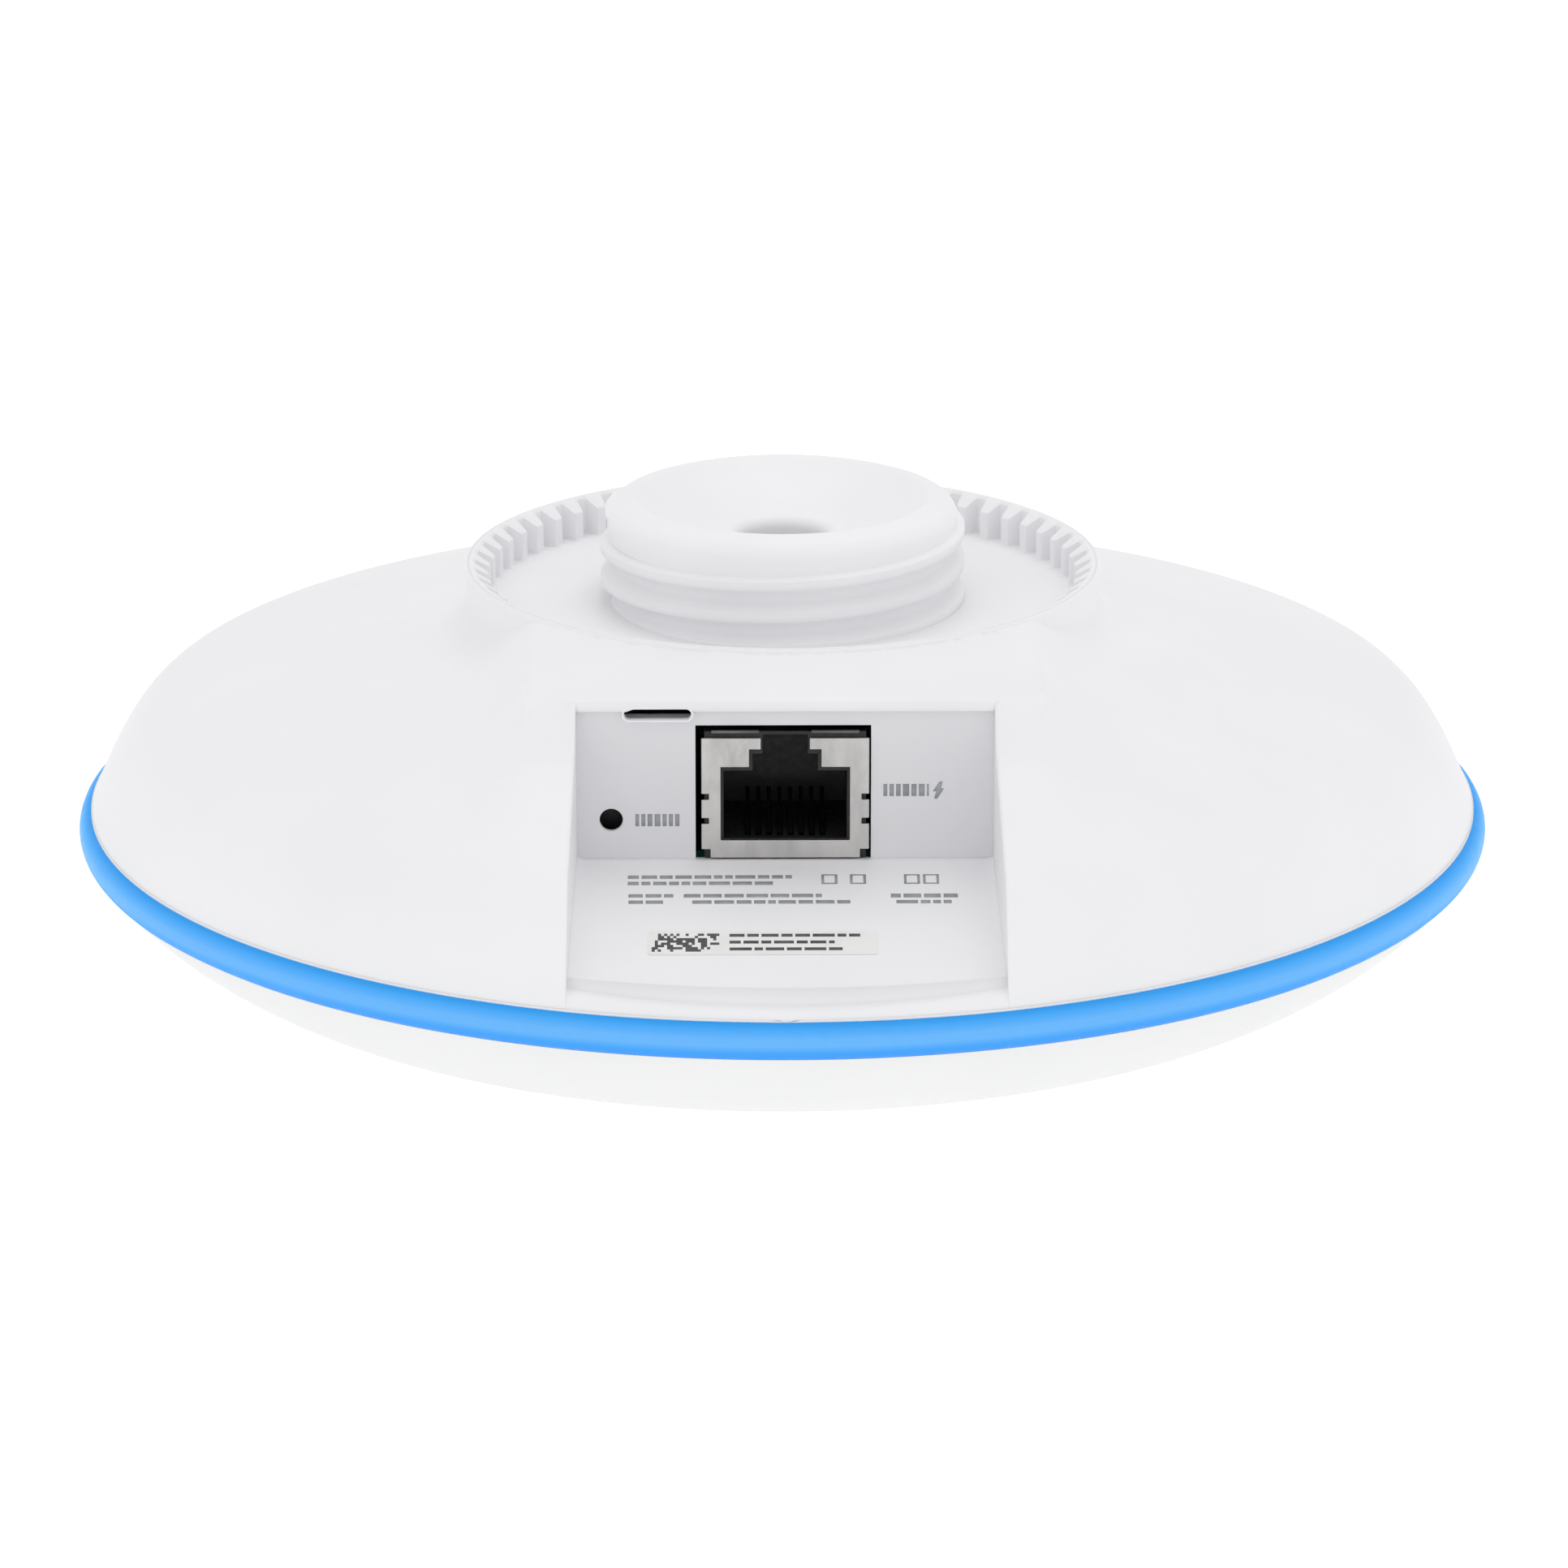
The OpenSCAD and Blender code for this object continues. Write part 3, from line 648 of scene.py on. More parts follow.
def stadium_rings(name, centre, half_length, rings, material):
    """A tube through the port wall: rings of (depth, radius, square) round a hole with round ends."""
    steps = 64
    points = []
    for depth, r, square in rings:
        for k in range(steps):
            c, s = math.cos(2 * math.pi * k / steps), math.sin(2 * math.pi * k / steps)
            reach = r / max(abs(c), abs(s)) if square else r
            points.append((centre[0] + math.copysign(half_length, c) + reach * c, depth - BAY_BACK_Y,
                           centre[1] + reach * s))
    faces = grid_faces(len(rings), steps, closed=True)
    last = (len(rings) - 1) * steps
    faces += [(last + k, last + (k + 1) % steps, (k + 1) % steps, k) for k in range(steps)]
    tube = make_mesh(name, points, faces, 50)
    finish_piece(tube, "housing", "housing_white", material, "back_shell")


def hole_surround(name, centre, half_length, radius, half_box):
    """The part of the port wall round a hole, square as far out as half_box from the ends' centres."""
    # The surround takes the wall's plastic, darkened as painted shade for the recess.
    stadium_rings(name, centre, half_length, [
        (0, half_box, True), (0, radius + 0.12, False), (0.03, radius + 0.04, False), (0.12, radius, False),
        (HOLE_DEPTH, radius, False), (HOLE_DEPTH, half_box, True)], bay_painted_shade_plastic())


def build_slot_rim():
    """The latch slot's raised rim, which stands out as far as the lip."""
    front = BAY_BACK_Y - LIP_Y - BAY_EDGE - 0.05
    rim_r = SLOT_R + SLOT_RIM
    stadium_rings("latch_slot_rim", SLOT_AT, SLOT_HALF, [
        (front + 0.06, rim_r, False), (front, rim_r - 0.06, False), (front, SLOT_R + 0.05, False),
        (front + 0.05, SLOT_R, False), (HOLE_DEPTH, SLOT_R, False), (HOLE_DEPTH, rim_r, False)],
        shell_plastic())


def build_port_wall():
    """The bay's back wall, with the port's opening, the latch slot and the round reset hole."""
    jack_x, jack_z = JACK_HIGH.x + JACK_ROOM, JACK_HIGH.z + JACK_ROOM
    left, right = -jack_x - JACK_LEFT_ROOM, jack_x - JACK_RIGHT_TRIM
    edge = BAY_HALF + 0.15
    holes = [(SLOT_AT, SLOT_HALF, SLOT_R, SLOT_BOX), ((RESET_X, RESET_Z), 0.0, RESET_HOLE_R, RESET_BOX)]
    xs = [-edge, edge, left, right]
    zs = [BAY_FLOOR - 0.6, SLOT_AT[1] + SLOT_BOX, jack_z]
    for (x, z), half_length, _, half_box in holes:
        xs += [x - half_length - half_box, x + half_length + half_box]
        zs += [z - half_box, z + half_box]

    def filled(px, pz):
        if left < px < right and pz < jack_z:
            return False
        return not any(abs(px - x) < length + box and abs(pz - z) < box for (x, z), length, _, box in holes)

    wall = plate("port_wall", xs, zs, filled, -BAY_BACK_Y, WALL_THICK)
    # The wall's darker plastic is painted shade for the recessed bay.
    finish_piece(wall, "housing", "housing_white", bay_painted_shade_plastic(), "back_shell")
    for name, hole in zip(("latch_slot_surround", "reset_hole_surround"), holes):
        hole_surround(name, *hole)


# ---- post, light ring and cover

def build_post_thread():
    """The post's helical thread, which fades out under the plain band."""
    around = 240
    profile = [(0.0, CREST_R), (0.12, CREST_R), (0.15, CREST_R - 0.1), (0.3, ROOT_R + 0.1), (0.34, ROOT_R),
               (0.5, ROOT_R), (0.66, ROOT_R), (0.7, ROOT_R + 0.1), (0.85, CREST_R - 0.1), (0.88, CREST_R)]
    steps = len(profile)
    last = steps * THREAD_TURNS
    points, faces = [], []
    start_z = FRONT_CREST_Z - 2 * PITCH
    for k in range(last + 1):
        share, radius = profile[k % steps]
        for j in range(around):
            a = 2 * math.pi * j / around
            z = start_z + PITCH * (k // steps + share + j / around)
            crest_z = start_z + PITCH * (k // steps + round(share) + j / around)
            fade = min(max((LAST_CREST_Z - crest_z) / 0.5, 0), 1)
            z = min(max(z, SEAT_Z - 1.5), THREAD_TOP)
            r = ROOT_R + (radius - ROOT_R) * fade
            points.append((r * math.cos(a - math.pi / 2), r * math.sin(a - math.pi / 2), z))
    for k in range(last):
        row, above = k * around, (k + 1) * around
        for j in range(around - 1):
            faces.append((row + j, row + j + 1, above + j + 1, above + j))
        if k + 1 + steps <= last:
            up = (k + steps) * around
            faces.append((above - 1, up, up + around, above + around - 1))
    thread = make_mesh("mount_post_thread", points, faces, 50, merge=0.002)
    finish_piece(thread, "housing", "post_white", post_plastic(), "mount_post")


def build_post_head():
    """The post's plain band, its dished top and the bore through it."""
    dish_z = POST_TOP + math.sqrt(DISH_R ** 2 - DISH_RIM_R ** 2)
    dish = []
    for r in np.linspace(DISH_RIM_R - 0.15, BORE_R + BORE_FUNNEL, 14):
        dish.append((r, dish_z - math.sqrt(DISH_R ** 2 - r * r)))
    mouth_z = dish[-1][1]
    brow, shoulder = POST_TOP - BROW_DROP, POST_TOP - NECK_DROP
    profile = [(ROOT_R - 0.03, NECK_LOW - 0.35), (NECK_R - 0.03, NECK_LOW), (NECK_R, NECK_LOW + 0.12),
               (NECK_R, shoulder - 0.5), (NECK_R - 0.05, shoulder - 0.15), (NECK_R - 0.17, shoulder + 0.15),
               (NECK_R - 0.35, shoulder + 0.42), (BROW_R + 0.24, brow - 0.32), (BROW_R + 0.04, brow - 0.13),
               (BROW_R - 0.2, brow + 0.02), (BROW_R - 0.55, brow + 0.14), (DISH_RIM_R + 0.6, POST_TOP - 0.1),
               (DISH_RIM_R + 0.3, POST_TOP - 0.01), (DISH_RIM_R + 0.12, POST_TOP),
               (DISH_RIM_R - 0.02, POST_TOP - 0.05)]
    profile += dish
    profile += arc((BORE_R + BORE_FUNNEL, mouth_z - BORE_FUNNEL), BORE_FUNNEL, 95, 180, 10)
    profile += [(BORE_R, BORE_LOW_Z), (ROOT_R - 0.8, BORE_LOW_Z), (ROOT_R - 0.8, NECK_LOW - 0.35)]
    points, faces = revolve(profile, 192, closed=True)
    top = make_mesh("mount_post_head", points, faces, 40)
    finish_piece(top, "housing", "post_white", post_plastic(), "mount_post")


def build_led_ring():
    """The light ring's bulging outer band, with a flat seat above and below."""
    bulge = RING_R - RIM_R
    radius = (bulge ** 2 + RING_HALF ** 2) / (2 * bulge)
    centre = (RING_R - radius, 0)
    half_angle = math.degrees(math.asin(RING_HALF / radius))
    profile = arc(centre, radius, -half_angle, half_angle, 17)
    seat_r, tongue_r, half = 65.6, 62.6, 1.1
    profile += [(seat_r, RING_HALF), (seat_r, half), (tongue_r, half), (tongue_r, -half), (seat_r, -half),
                (seat_r, -RING_HALF)]
    points, faces = revolve(profile, 320, closed=True)
    ring = make_mesh("light_ring", points, faces, 40)
    finish_piece(ring, "housing", "light_blue", ring_light(), "led_ring")


def build_radome():
    """The round front cover: a shallow spherical middle, a full bend and a tongue inside the ring."""
    cap_r, cap_slope, rim_slope, wall = 50.0, math.radians(13.7), math.radians(50.2), 2.0
    tongue_out, tongue_in, tongue_top = 62.3, 60.8, 5.2
    bay_half, bay_tongue_top = 23, 1.2
    cap_sphere = cap_r / math.sin(cap_slope)
    bend_r = (RIM_R - cap_r) / (math.sin(rim_slope) - math.sin(cap_slope))
    bend = (cap_r - bend_r * math.sin(cap_slope), bend_r * math.cos(rim_slope) - RING_HALF)
    cap_z = bend[1] + (cap_sphere - bend_r) * math.cos(cap_slope)
    outer = [(cap_sphere * math.sin(a), cap_z - cap_sphere * math.cos(a))
             for a in np.linspace(0.002, cap_slope, 22)]
    outer += [(bend[0] + bend_r * math.sin(a), bend[1] - bend_r * math.cos(a))
              for a in np.linspace(cap_slope, rim_slope, 22)[1:]]
    outer = [(r, max(z, COVER_LOW)) for r, z in outer]
    outer[-1] = (RIM_R - 0.12, -RING_HALF - 0.1)
    outer += [(RIM_R - 0.3, -RING_HALF), (tongue_out, -RING_HALF), (tongue_out, tongue_top),
              (tongue_in, tongue_top)]
    inner_last = math.asin((tongue_in - bend[0]) / (bend_r - wall))
    inner = [(bend[0] + (bend_r - wall) * math.sin(a), bend[1] - (bend_r - wall) * math.cos(a))
             for a in np.linspace(inner_last, cap_slope, 16)]
    inner += [((cap_sphere - wall) * math.sin(a), cap_z - (cap_sphere - wall) * math.cos(a))
              for a in np.linspace(cap_slope, 0.002, 12)[1:]]
    count = 320
    points, faces = revolve(outer + inner, count)
    under_bay = (np.abs(points[:, 0]) < bay_half) & (points[:, 1] < 0) & (points[:, 2] > bay_tongue_top)
    points[under_bay, 2] = bay_tongue_top
    faces.append(tuple(range(count))[::-1])
    last = (len(outer) + len(inner) - 1) * count
    faces.append(tuple(last + k for k in range(count)))
    cover = make_mesh("front_cover", points, faces, 40)
    finish_piece(cover, "housing", "cover_white", cover_plastic(), "radome_cover")


# ---- network jack

def build_jack():
    """The jack's stamped shield: a front with a stepped window, tabs and side notches, and its can."""
    x, low, high = JACK_HIGH.x, JACK_LOW.z, JACK_HIGH.z
    front = JACK_LOW.y
    plug, step, latch = 6.1, 3.4, 2.3
    plug_low, plug_high, step_high, face_high = 9.96, 17.2, 18.95, high - 0.9
    corner, notch_deep, face_thick, can_wall = 0.85, 0.7, 0.35, 0.65
    notches = [(14.0, 14.55), (11.6, 12.15)]
    xs = [-x, x, -plug, plug, -step, step, -latch, latch, corner - x, x - corner, -x + notch_deep,
          x - notch_deep]
    zs = [low, face_high, plug_low, plug_high, step_high, low + corner]
    zs += [z for n in notches for z in n]

    def filled(px, pz):
        a = abs(px)
        window = (a < plug and plug_low < pz < plug_high) or (a < step and plug_high < pz < step_high)
        window = window or (a < latch and pz > step_high)
        clipped = a > x - corner and pz < low + corner
        notch = a > x - notch_deep and any(b < pz < t for b, t in notches)
        return not (window or clipped or notch)

    face = plate("jack_shield_front", xs, zs, filled, front, face_thick)
    bevel(face, 0.09)
    finish_piece(face, "housing", "jack_nickel", jack_nickel(), "jack_shield")

    def can_filled(px, pz):
        a = abs(px)
        return not (a < x - can_wall and pz < high - can_wall) and not (a > x - 0.3 and pz < low + 0.3)

    can = plate("jack_shield_can", [-x + 0.3, x - 0.3, -x + can_wall, x - can_wall],
                [low, high - 0.3, high - can_wall], can_filled, front + face_thick, JACK_HIGH.y - front - 0.5)
    bevel(can, 0.1)
    finish_piece(can, "housing", "jack_nickel", jack_nickel(), "jack_shield")

    for sign, name in ((-1, "left"), (1, "right")):
        inner, outer = sign * 2.45, sign * 7.0
        # The tabs take the shield's nickel darkened as painted shade.
        tab = rounded_box(f"jack_tab_{name}", (min(inner, outer), front - 0.12, high - 0.4),
                          (max(inner, outer), front + 0.2, high - 0.1), 0.06)
        finish_piece(tab, "housing", "jack_nickel", nickel_painted_shade(), "jack_shield")
        lining = plate(f"jack_lining_{name}", [sign * (step + 0.2), sign * (step + 1.2)],
                       [plug_high, step_high], lambda px, pz: True, front + 0.5, 0.2)
        finish_piece(lining, "housing", "jack_black", jack_black())


# ---- printed marks (all generic)

def floor_point(x, down, lift=0.02):
    """A place on the bay's floor, down its slope from the back wall, a little above the surface."""
    cosine = 1 / math.hypot(1, BAY_FLOOR_FALL)
    y = BAY_BACK_Y + down * cosine
    return x, -y, BAY_FLOOR - (y - BAY_BACK_Y) * BAY_FLOOR_FALL + lift


class Ink:
    """Thin printed bars on the floor or on the back wall."""

    def __init__(self):
        self.points, self.faces = [], []

    def quad(self, corners):
        n = len(self.points)
        self.points += corners
        self.faces.append((n, n + 1, n + 2, n + 3))

    def floor_bar(self, x0, x1, down0, down1):
        self.quad([floor_point(x0, down1), floor_point(x1, down1), floor_point(x1, down0),
                   floor_point(x0, down0)])

    def wall_bar(self, x0, x1, z0, z1):
        y = -BAY_BACK_Y - 0.02
        self.quad([(x0, y, z0), (x1, y, z0), (x1, y, z1), (x0, y, z1)])

    def greeked_line(self, bar, x0, x1, low, high, seed, gap=0.26):
        """A line of unreadable word bars."""
        pick = random.Random(seed)
        x = x0
        while x < x1 - 0.3:
            word = min(pick.uniform(0.7, 2.1), x1 - x)
            bar(x, x + word, low, high)
            x += word + gap

    def piece(self, name, slot, material):
        obj = make_mesh(name, self.points, self.faces, 30)
        skin(obj, 0.015)
        return finish_piece(obj, "housing", slot, material)


def build_floor_marks():
    ink = Ink()
    lines = [(-14.9, 0.6, 3.35), (-14.9, -1.2, 4.55), (-9.6, 3.4, 6.9), (-8.8, 6.4, 8.1)]
    for n, (x0, x1, down) in enumerate(lines):
        ink.greeked_line(ink.floor_bar, x0, x1, down, down + 0.62, n + 3)
    ink.greeked_line(ink.floor_bar, -14.8, -10.6, 6.9, 7.5, 11)
    ink.greeked_line(ink.floor_bar, -14.8, -11.4, 8.1, 8.7, 12)
    for x in (3.4, 6.1, 11.2, 13.0):
        ink.floor_bar(x, x + 1.5, 3.2, 3.42)
        ink.floor_bar(x, x + 1.5, 4.8, 5.02)
        ink.floor_bar(x, x + 0.24, 3.42, 4.8)
        ink.floor_bar(x + 1.26, x + 1.5, 3.42, 4.8)
    ink.greeked_line(ink.floor_bar, 9.9, 16.2, 6.9, 7.6, 21)
    ink.greeked_line(ink.floor_bar, 10.4, 15.6, 8.1, 8.7, 22)
    ink.piece("floor_print", "label_white", grey_ink())


def build_wall_marks():
    """Two rows of plain bars in place of the wall's words, and a zigzag for power."""
    ink = Ink()
    for x0, x1, z0, z1, seed in ((-14.2, -10.0, 11.3, 12.5, 31), (9.3, 13.6, 14.25, 15.45, 32)):
        pick = random.Random(seed)
        x = x0
        while x < x1:
            wide = pick.uniform(0.34, 0.62)
            ink.wall_bar(x, min(x + wide, x1), z0, z1)
            x += wide + 0.22
    y = -BAY_BACK_Y - 0.02
    upper = [(14.62, 15.7), (13.98, 14.72), (14.66, 14.72), (14.92, 15.7)]
    lower = [(14.36, 15.0), (15.02, 15.0), (14.4, 14.0), (14.12, 14.0)]
    for outline in (upper, lower):
        ink.quad([(x, y, z) for x, z in outline])
    ink.piece("wall_print", "label_white", grey_ink())


def build_rating_label():
    """A paper sticker with a block of random squares and three bars in place of its print."""
    x0, x1 = LABEL_LOW.x, LABEL_HIGH.x
    cosine = 1 / math.hypot(1, BAY_FLOOR_FALL)
    near, far = (-LABEL_HIGH.y - BAY_BACK_Y) / cosine, (-LABEL_LOW.y - BAY_BACK_Y) / cosine
    corners, round_r, steps = [], 0.35, 6
    print_lift = 0.115
    for cx, cd, start in ((x1 - round_r, near + round_r, 0), (x0 + round_r, near + round_r, 90),
                          (x0 + round_r, far - round_r, 180), (x1 - round_r, far - round_r, 270)):
        for k in range(steps + 1):
            a = math.radians(start + 90 * k / steps)
            corners.append((cx + round_r * math.cos(a), cd - round_r * math.sin(a)))
    points = [floor_point(x, d, 0.1) for x, d in corners] + [floor_point(x, d, 0.01) for x, d in corners]
    n = len(corners)
    faces = [tuple(range(n)), tuple(range(n, 2 * n))[::-1]]
    faces += [(k, n + k, n + (k + 1) % n, (k + 1) % n) for k in range(n)]
    paper = make_mesh("rating_sticker", points, faces, 30)
    finish_piece(paper, "housing", "label_white", paper_white(), "rating_label")

    ink = Ink()

    def bar(x_from, x_to, down_from, down_to):
        corners = ((x_from, down_to), (x_to, down_to), (x_to, down_from), (x_from, down_from))
        ink.quad([floor_point(x, down, print_lift) for x, down in corners])

    pick = random.Random(5)
    cells_x, cells_d = 22, 8
    left, width, top, height = x0 + 0.35, 6.3, near + 0.5, far - near - 1.0
    for i in range(cells_x):
        for k in range(cells_d):
            if pick.random() < 0.56:
                bar(left + i * width / cells_x, left + (i + 1) * width / cells_x,
                    top + k * height / cells_d, top + (k + 1) * height / cells_d)
    for n, share in enumerate((0.02, 0.4, 0.78)):
        down = top + share * height
        ink.greeked_line(bar, x0 + 7.6, x0 + (19.8, 17.4, 18.6)[n], down, down + 0.52, 50 + n)
    ink.piece("sticker_print", "label_white", sticker_ink())


# ---- materials

LOOKS = {}


def new_material(name):
    mat = bpy.data.materials.new(name)
    mat.use_nodes = True
    nodes = mat.node_tree.nodes
    nodes.clear()
    out = nodes.new("ShaderNodeOutputMaterial")
    shader = nodes.new("ShaderNodeBsdfPrincipled")
    mat.node_tree.links.new(shader.outputs["BSDF"], out.inputs["Surface"])
    return mat, nodes, mat.node_tree.links, shader


def linear(rgb):
    """sRGB 0-255 as a linear colour."""
    c = [v / 255 for v in rgb]
    return [v / 12.92 if v <= 0.04045 else ((v + 0.055) / 1.055) ** 2.4 for v in c] + [1.0]


def put(node, **values):
    """Sets a node's inputs by name, with an underscore for each space."""
    for name, value in values.items():
        node.inputs[name.replace("_", " ")].default_value = value


def coordinates(nodes, links, stretch=(1, 1, 1)):
    coord = nodes.new("ShaderNodeTexCoord")
    mapping = nodes.new("ShaderNodeMapping")
    put(mapping, Scale=stretch)
    links.new(coord.outputs["Object"], mapping.inputs["Vector"])
    return mapping.outputs["Vector"]


def noise(nodes, links, vector, scale, detail=3.0, rough=0.55):
    tex = nodes.new("ShaderNodeTexNoise")
    put(tex, Scale=scale, Detail=detail, Roughness=rough)
    links.new(vector, tex.inputs["Vector"])
    return tex.outputs["Fac"]


def ramp(nodes, links, fac, stops):
    node = nodes.new("ShaderNodeValToRGB")
    elements = node.color_ramp.elements
    while len(elements) < len(stops):
        elements.new(0.5)
    for element, (position, colour) in zip(elements, stops):
        element.position = position
        element.color = colour
    links.new(fac, node.inputs["Fac"])
    return node.outputs["Color"]


def spread(nodes, links, fac, low, high):
    node = nodes.new("ShaderNodeMapRange")
    put(node, From_Min=0.3, From_Max=0.7, To_Min=low, To_Max=high)
    links.new(fac, node.inputs["Value"])
    return node.outputs["Result"]


def bump(nodes, links, shader, fac, distance, strength=1.0):
    node = nodes.new("ShaderNodeBump")
    put(node, Distance=distance * MM, Strength=strength)
    links.new(fac, node.inputs["Height"])
    links.new(node.outputs["Normal"], shader.inputs["Normal"])


def surface(name, dark, light, rough, grain, depth, blotch=60.0, metallic=0.0, specular=0.5,
            stretch=(1, 1, 1)):
    """A solid material: soft colour blotches, and a fine grain that drives its bump and roughness."""
    if name in LOOKS:
        return LOOKS[name]
    mat, nodes, links, shader = new_material(name)
    LOOKS[name] = mat
    vector = coordinates(nodes, links, stretch)
    broad = noise(nodes, links, vector, blotch, 2.0)
    fine = noise(nodes, links, vector, grain, 4.0, 0.6)
    colour = ramp(nodes, links, broad, [(0.32, linear(dark)), (0.68, linear(light))])
    links.new(colour, shader.inputs["Base Color"])
    links.new(spread(nodes, links, fine, *rough), shader.inputs["Roughness"])
    put(shader, Metallic=metallic, Specular_IOR_Level=specular)
    bump(nodes, links, shader, fine, depth)
    return mat


def metal(name, dark, light, rough, grain, depth):
    return surface(name, dark, light, rough, grain, depth, metallic=1.0)


def shell_plastic():
    return surface("shell_plastic", (242, 242, 244), (245, 245, 247), (0.5, 0.62), 2600, 0.012, 45,
                   specular=0.35)


# The shell's white plastic, darkened as painted shade for the bay's recessed back wall round the port.
def bay_painted_shade_plastic():
    return surface("bay_painted_shade_plastic", (226, 226, 229), (229, 229, 232), (0.55, 0.66), 2600, 0.012, 45,
                   specular=0.3)


def cover_plastic():
    return surface("cover_plastic", (227, 227, 227), (230, 230, 230), (0.42, 0.55), 2200, 0.008, 40,
                   specular=0.35)


def post_plastic():
    return surface("post_plastic", (243, 243, 245), (246, 246, 248), (0.42, 0.56), 2400, 0.01, 60,
                   specular=0.4)


def jack_nickel():
    return surface("jack_nickel", (184, 183, 182), (204, 202, 200), (0.34, 0.5), 900, 0.01, 160, 1.0,
                   stretch=(3, 1, 1))


# The shield's nickel darkened as painted shade, for the folded tabs along the top of the jack's opening.
def nickel_painted_shade():
    return surface("nickel_painted_shade", (84, 84, 85), (106, 106, 107), (0.3, 0.45), 900, 0.01, 220, 1.0)


def jack_black():
    return surface("jack_black", (18, 18, 19), (30, 30, 31), (0.42, 0.6), 1500, 0.02, 180)


def grey_ink():
    return surface("grey_ink", (150, 153, 157), (166, 168, 171), (0.55, 0.7), 3000, 0.003, 500)


def sticker_ink():
    return surface("sticker_ink", (70, 71, 74), (92, 93, 96), (0.5, 0.7), 3000, 0.003, 500)


def paper_white():
    return surface("paper_white", (236, 236, 234), (242, 242, 240), (0.4, 0.55), 1800, 0.006, 300)


def ring_light():
    """Frosted light guide: pale in the middle of its height, deeper blue towards its edges."""
    mat, nodes, links, shader = new_material("ring_light")
    coord = nodes.new("ShaderNodeTexCoord")
    split = nodes.new("ShaderNodeSeparateXYZ")
    links.new(coord.outputs["Object"], split.inputs["Vector"])
    height = nodes.new("ShaderNodeMapRange")
    put(height, From_Min=RING_LOW.z, From_Max=RING_HIGH.z)
    links.new(split.outputs["Z"], height.inputs["Value"])
    low, middle, high = linear((12, 140, 240)), linear((106, 183, 250)), linear((24, 146, 226))
    colour = ramp(nodes, links, height.outputs["Result"],
                  [(0.0, low), (0.26, linear((62, 164, 248))), (0.46, middle), (0.64, middle),
                   (0.86, linear((70, 168, 246))), (1.0, high)])
    links.new(colour, shader.inputs["Emission Color"])
    put(shader, Emission_Strength=0.93)
    vector = coordinates(nodes, links)
    frost = noise(nodes, links, vector, 900, 3.0)
    tint = ramp(nodes, links, frost, [(0.3, linear((10, 40, 70))), (0.7, linear((14, 52, 86)))])
    links.new(tint, shader.inputs["Base Color"])
    links.new(spread(nodes, links, frost, 0.45, 0.6), shader.inputs["Roughness"])
    put(shader, Specular_IOR_Level=0.2)
    bump(nodes, links, shader, frost, 0.01)
    return mat


def circuit_board(name, mask, trace):
    """Solder mask over copper runs: a fine grid of raised lines under a glossy skin."""
    mat, nodes, links, shader = new_material(name)
    vector = coordinates(nodes, links)
    tex = nodes.new("ShaderNodeTexBrick")
    put(tex, Scale=140, Mortar_Size=0.03, Color1=linear(mask), Color2=linear([v * 0.9 for v in mask]),
        Mortar=linear(trace))
    links.new(vector, tex.inputs["Vector"])
    links.new(tex.outputs["Color"], shader.inputs["Base Color"])
    fine = noise(nodes, links, vector, 700)
    links.new(spread(nodes, links, fine, 0.25, 0.4), shader.inputs["Roughness"])
    bump(nodes, links, shader, tex.outputs["Fac"], 0.02)
    return mat


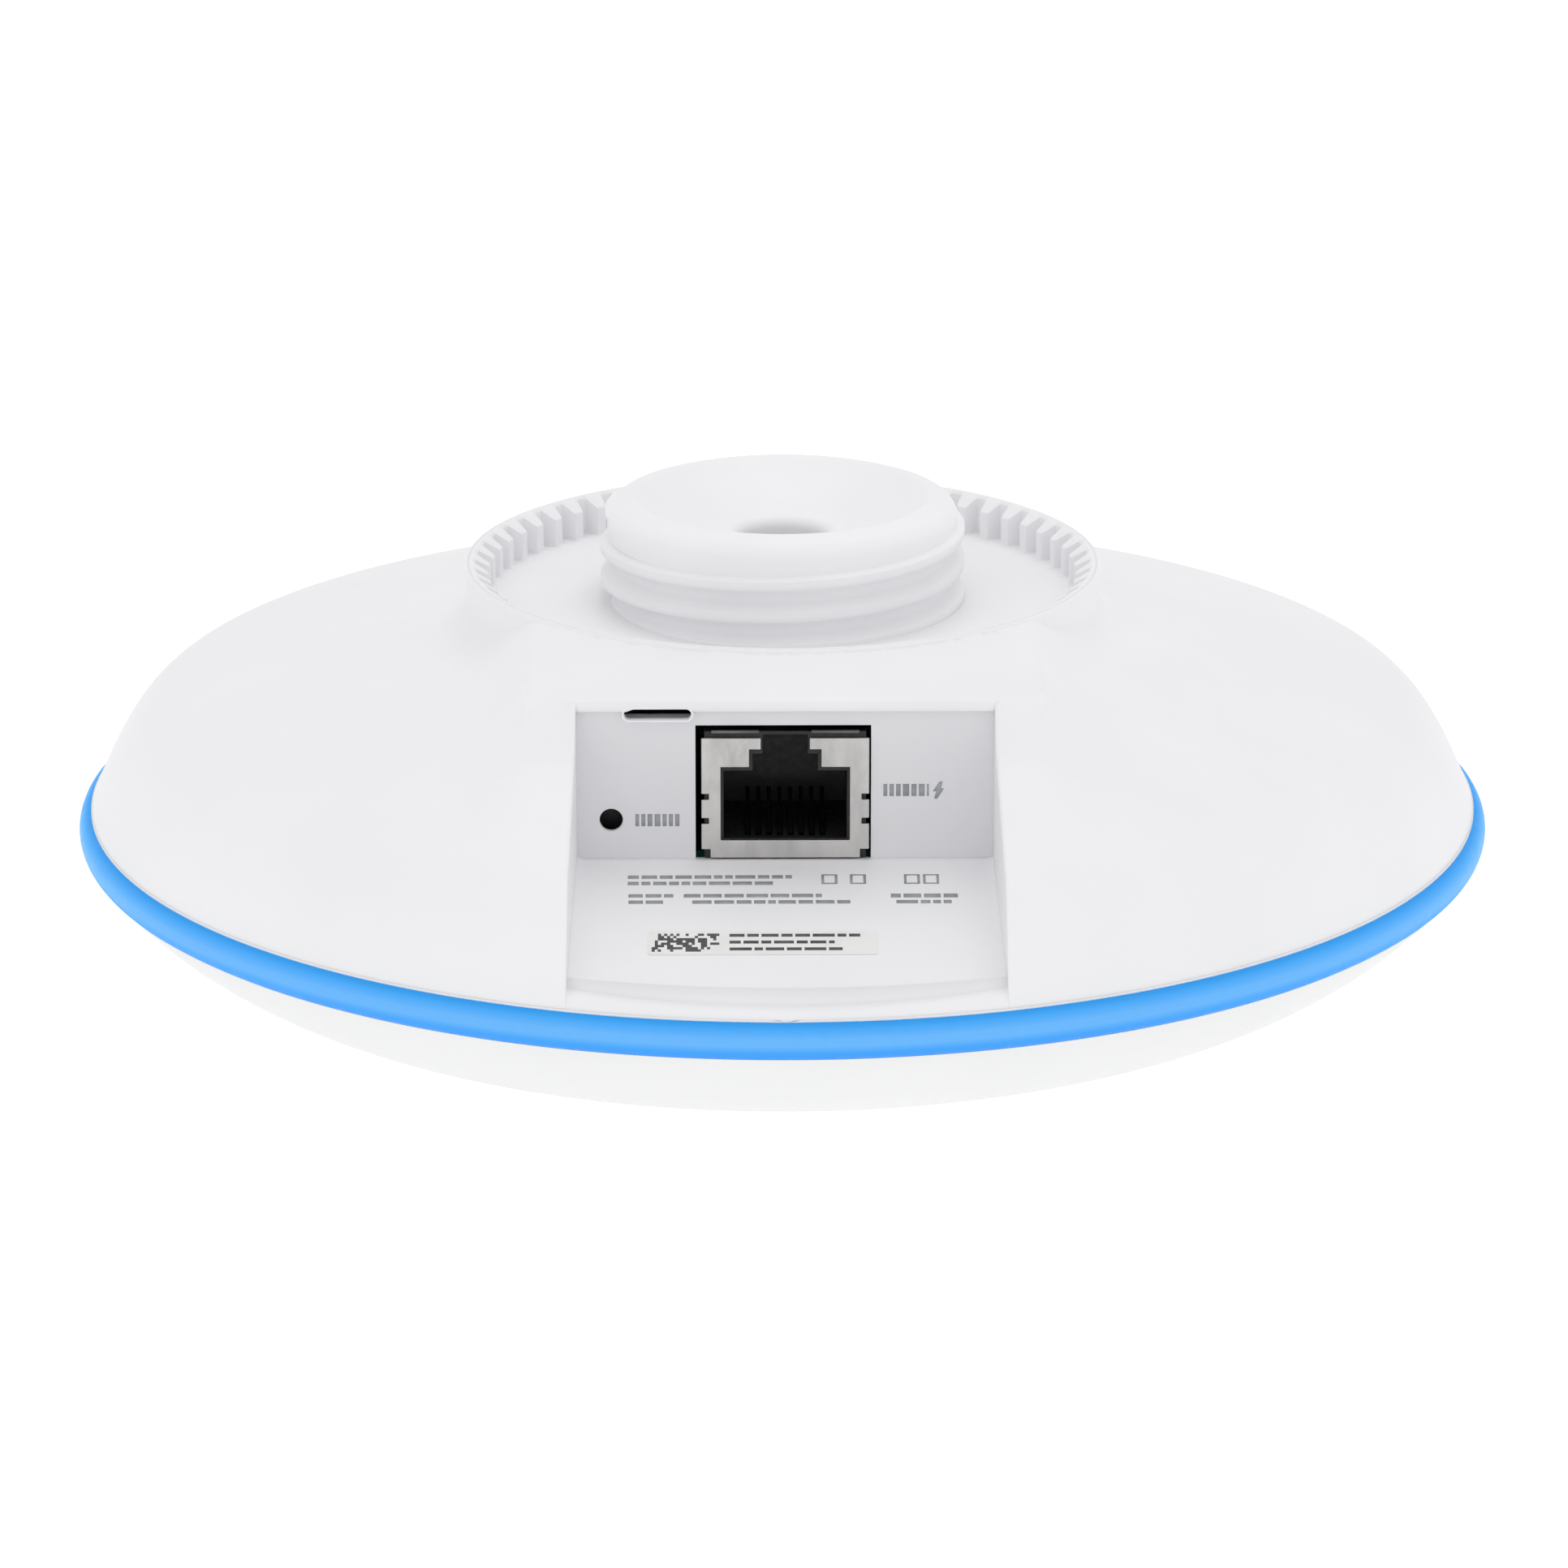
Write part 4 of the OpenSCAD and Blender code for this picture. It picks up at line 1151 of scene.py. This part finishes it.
def dress_cad_nodes():
    """Materials for the CAD nodes that still show, from their record slots."""
    looks = {
        "post_seal": surface("seal_rubber", (70, 71, 73), (84, 85, 87), (0.7, 0.85), 1400, 0.02),
        "housing_gasket": surface("foam_seal", (150, 151, 152), (168, 169, 170), (0.8, 0.95), 1800, 0.05),
        "led_board": circuit_board("white_board", (222, 222, 216), (206, 206, 200)),
        "leds": surface("led_phosphor", (226, 214, 120), (240, 229, 150), (0.3, 0.5), 1600, 0.01),
        "led_flex_tail": surface("flex_amber", (176, 112, 44), (196, 132, 58), (0.3, 0.45), 1200, 0.01),
        "main_pcb": circuit_board("green_board", (18, 74, 42), (34, 100, 58)),
        "jack_insert": jack_black(),
        "jack_contacts": metal("contact_gold", (66, 65, 62), (90, 88, 82), (0.35, 0.5), 900, 0.005),
        "poe_transformer": surface("ferrite_brown", (84, 62, 48), (104, 78, 60), (0.5, 0.7), 900, 0.05),
        "power_inductors": surface("ferrite_grey", (74, 74, 76), (92, 92, 94), (0.55, 0.75), 900, 0.05),
        "bulk_capacitors": metal("capacitor_can", (176, 178, 180), (196, 198, 200), (0.2, 0.35), 600, 0.01),
        "reset_switch_body": surface("switch_black", (26, 26, 27), (36, 36, 37), (0.45, 0.6), 1500, 0.02),
        "reset_button": surface("button_black", (16, 16, 17), (24, 24, 25), (0.4, 0.55), 1500, 0.02),
        "switch_dome": metal("dome_steel", (170, 172, 174), (188, 190, 192), (0.2, 0.3), 700, 0.005),
        "heat_spreader": metal("cast_aluminium", (158, 160, 162), (178, 180, 182), (0.35, 0.55), 500, 0.06),
        "thermal_pads": surface("pad_blue", (120, 146, 176), (138, 162, 190), (0.75, 0.9), 900, 0.04),
        "coax_leads": surface("coax_grey", (96, 97, 99), (112, 113, 115), (0.4, 0.6), 1200, 0.02),
        "coax_plugs": metal("plug_gold", (186, 148, 72), (206, 168, 90), (0.2, 0.35), 900, 0.005),
        "antenna_board": circuit_board("antenna_green", (24, 92, 62), (44, 116, 80)),
        "antenna_patches": metal("patch_brass", (178, 148, 88), (198, 168, 106), (0.25, 0.4), 600, 0.01),
        "rf_shield_cans": metal("can_tin", (176, 178, 178), (192, 194, 194), (0.25, 0.4), 500, 0.01),
    }
    black = surface("component_black", (30, 30, 31), (42, 42, 43), (0.5, 0.7), 1600, 0.02)
    looks.update(dict.fromkeys(("lan_transformer", "processor_chip", "radio_chips", "memory_chips"), black))
    steel = metal("screw_steel", (168, 170, 172), (190, 192, 194), (0.22, 0.38), 900, 0.01)
    looks.update(dict.fromkeys(("post_screws", "chassis_screws", "antenna_screws"), steel))
    for node, material in looks.items():
        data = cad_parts[node].data
        data.materials.clear()
        data.materials.append(material)


# ---- stage

def build_floor():
    """A plain pale floor at the object's lowest point."""
    half, z, count = 3000.0, COVER_LOW - 0.02, 9
    steps = np.linspace(-half, half, count)
    points = [(x, y, z) for y in steps for x in steps]
    floor = make_mesh("floor", points, grid_faces(count, count))
    mat, nodes, links, shader = new_material("floor_white")
    vector = coordinates(nodes, links)
    cloud = noise(nodes, links, vector, 6, 2.0)
    links.new(ramp(nodes, links, cloud, [(0.3, linear((186, 186, 186))), (0.7, linear((190, 190, 190)))]),
              shader.inputs["Base Color"])
    links.new(spread(nodes, links, cloud, 0.85, 0.95), shader.inputs["Roughness"])
    put(shader, Specular_IOR_Level=0.0, Emission_Color=(1, 1, 1, 1), Emission_Strength=0.72)
    floor.data.materials.append(mat)


def build_world():
    world = bpy.data.worlds.new("studio")
    bpy.context.scene.world = world
    world.use_nodes = True
    background = world.node_tree.nodes["Background"]
    put(background, Color=(1, 1, 1, 1), Strength=0.8)


def area_light(name, where, size, power):
    """A soft square light in metres that faces the object."""
    data = bpy.data.lights.new(name, "AREA")
    data.shape = "SQUARE"
    data.size = size
    data.energy = power
    light = bpy.data.objects.new(name, data)
    light.location = where
    light.rotation_mode = "QUATERNION"
    light.rotation_quaternion = (-Vector(where)).to_track_quat("-Z", "Y")
    bpy.context.scene.collection.objects.link(light)


def build_lights():
    area_light("overhead", (0.1, 0.35, 1.1), 0.7, 1.9)
    area_light("key_left", (-0.7, -0.6, 0.9), 0.7, 0.55)
    area_light("key_right", (0.8, -0.5, 0.9), 0.7, 0.35)


def build_camera():
    """A long-lens camera on the port side, a little above the object."""
    target = Vector((0.16, 0.0, 2.82)) * MM + Vector((0, 0, RING_Z))
    distance, elevation, azimuth = 0.806, math.radians(17.71), math.radians(-0.4)
    back = Vector((math.sin(azimuth) * math.cos(elevation), -math.cos(azimuth) * math.cos(elevation),
                   math.sin(elevation)))
    data = bpy.data.cameras.new("camera")
    data.lens = 185.37
    data.sensor_width = 36.0
    data.clip_start = 0.05
    camera = bpy.data.objects.new("camera", data)
    camera.location = target + back * distance
    camera.rotation_mode = "QUATERNION"
    camera.rotation_quaternion = (-back).to_track_quat("-Z", "Y")
    bpy.context.scene.collection.objects.link(camera)
    bpy.context.scene.camera = camera


bpy.context.scene.view_settings.view_transform = "Standard"
build_camera()
build_back_shell()
build_collar()
build_port_wall()
build_slot_rim()
build_post_thread()
build_post_head()
build_led_ring()
build_radome()
build_jack()
build_floor_marks()
build_wall_marks()
build_rating_label()
dress_cad_nodes()
build_floor()
build_world()
build_lights()
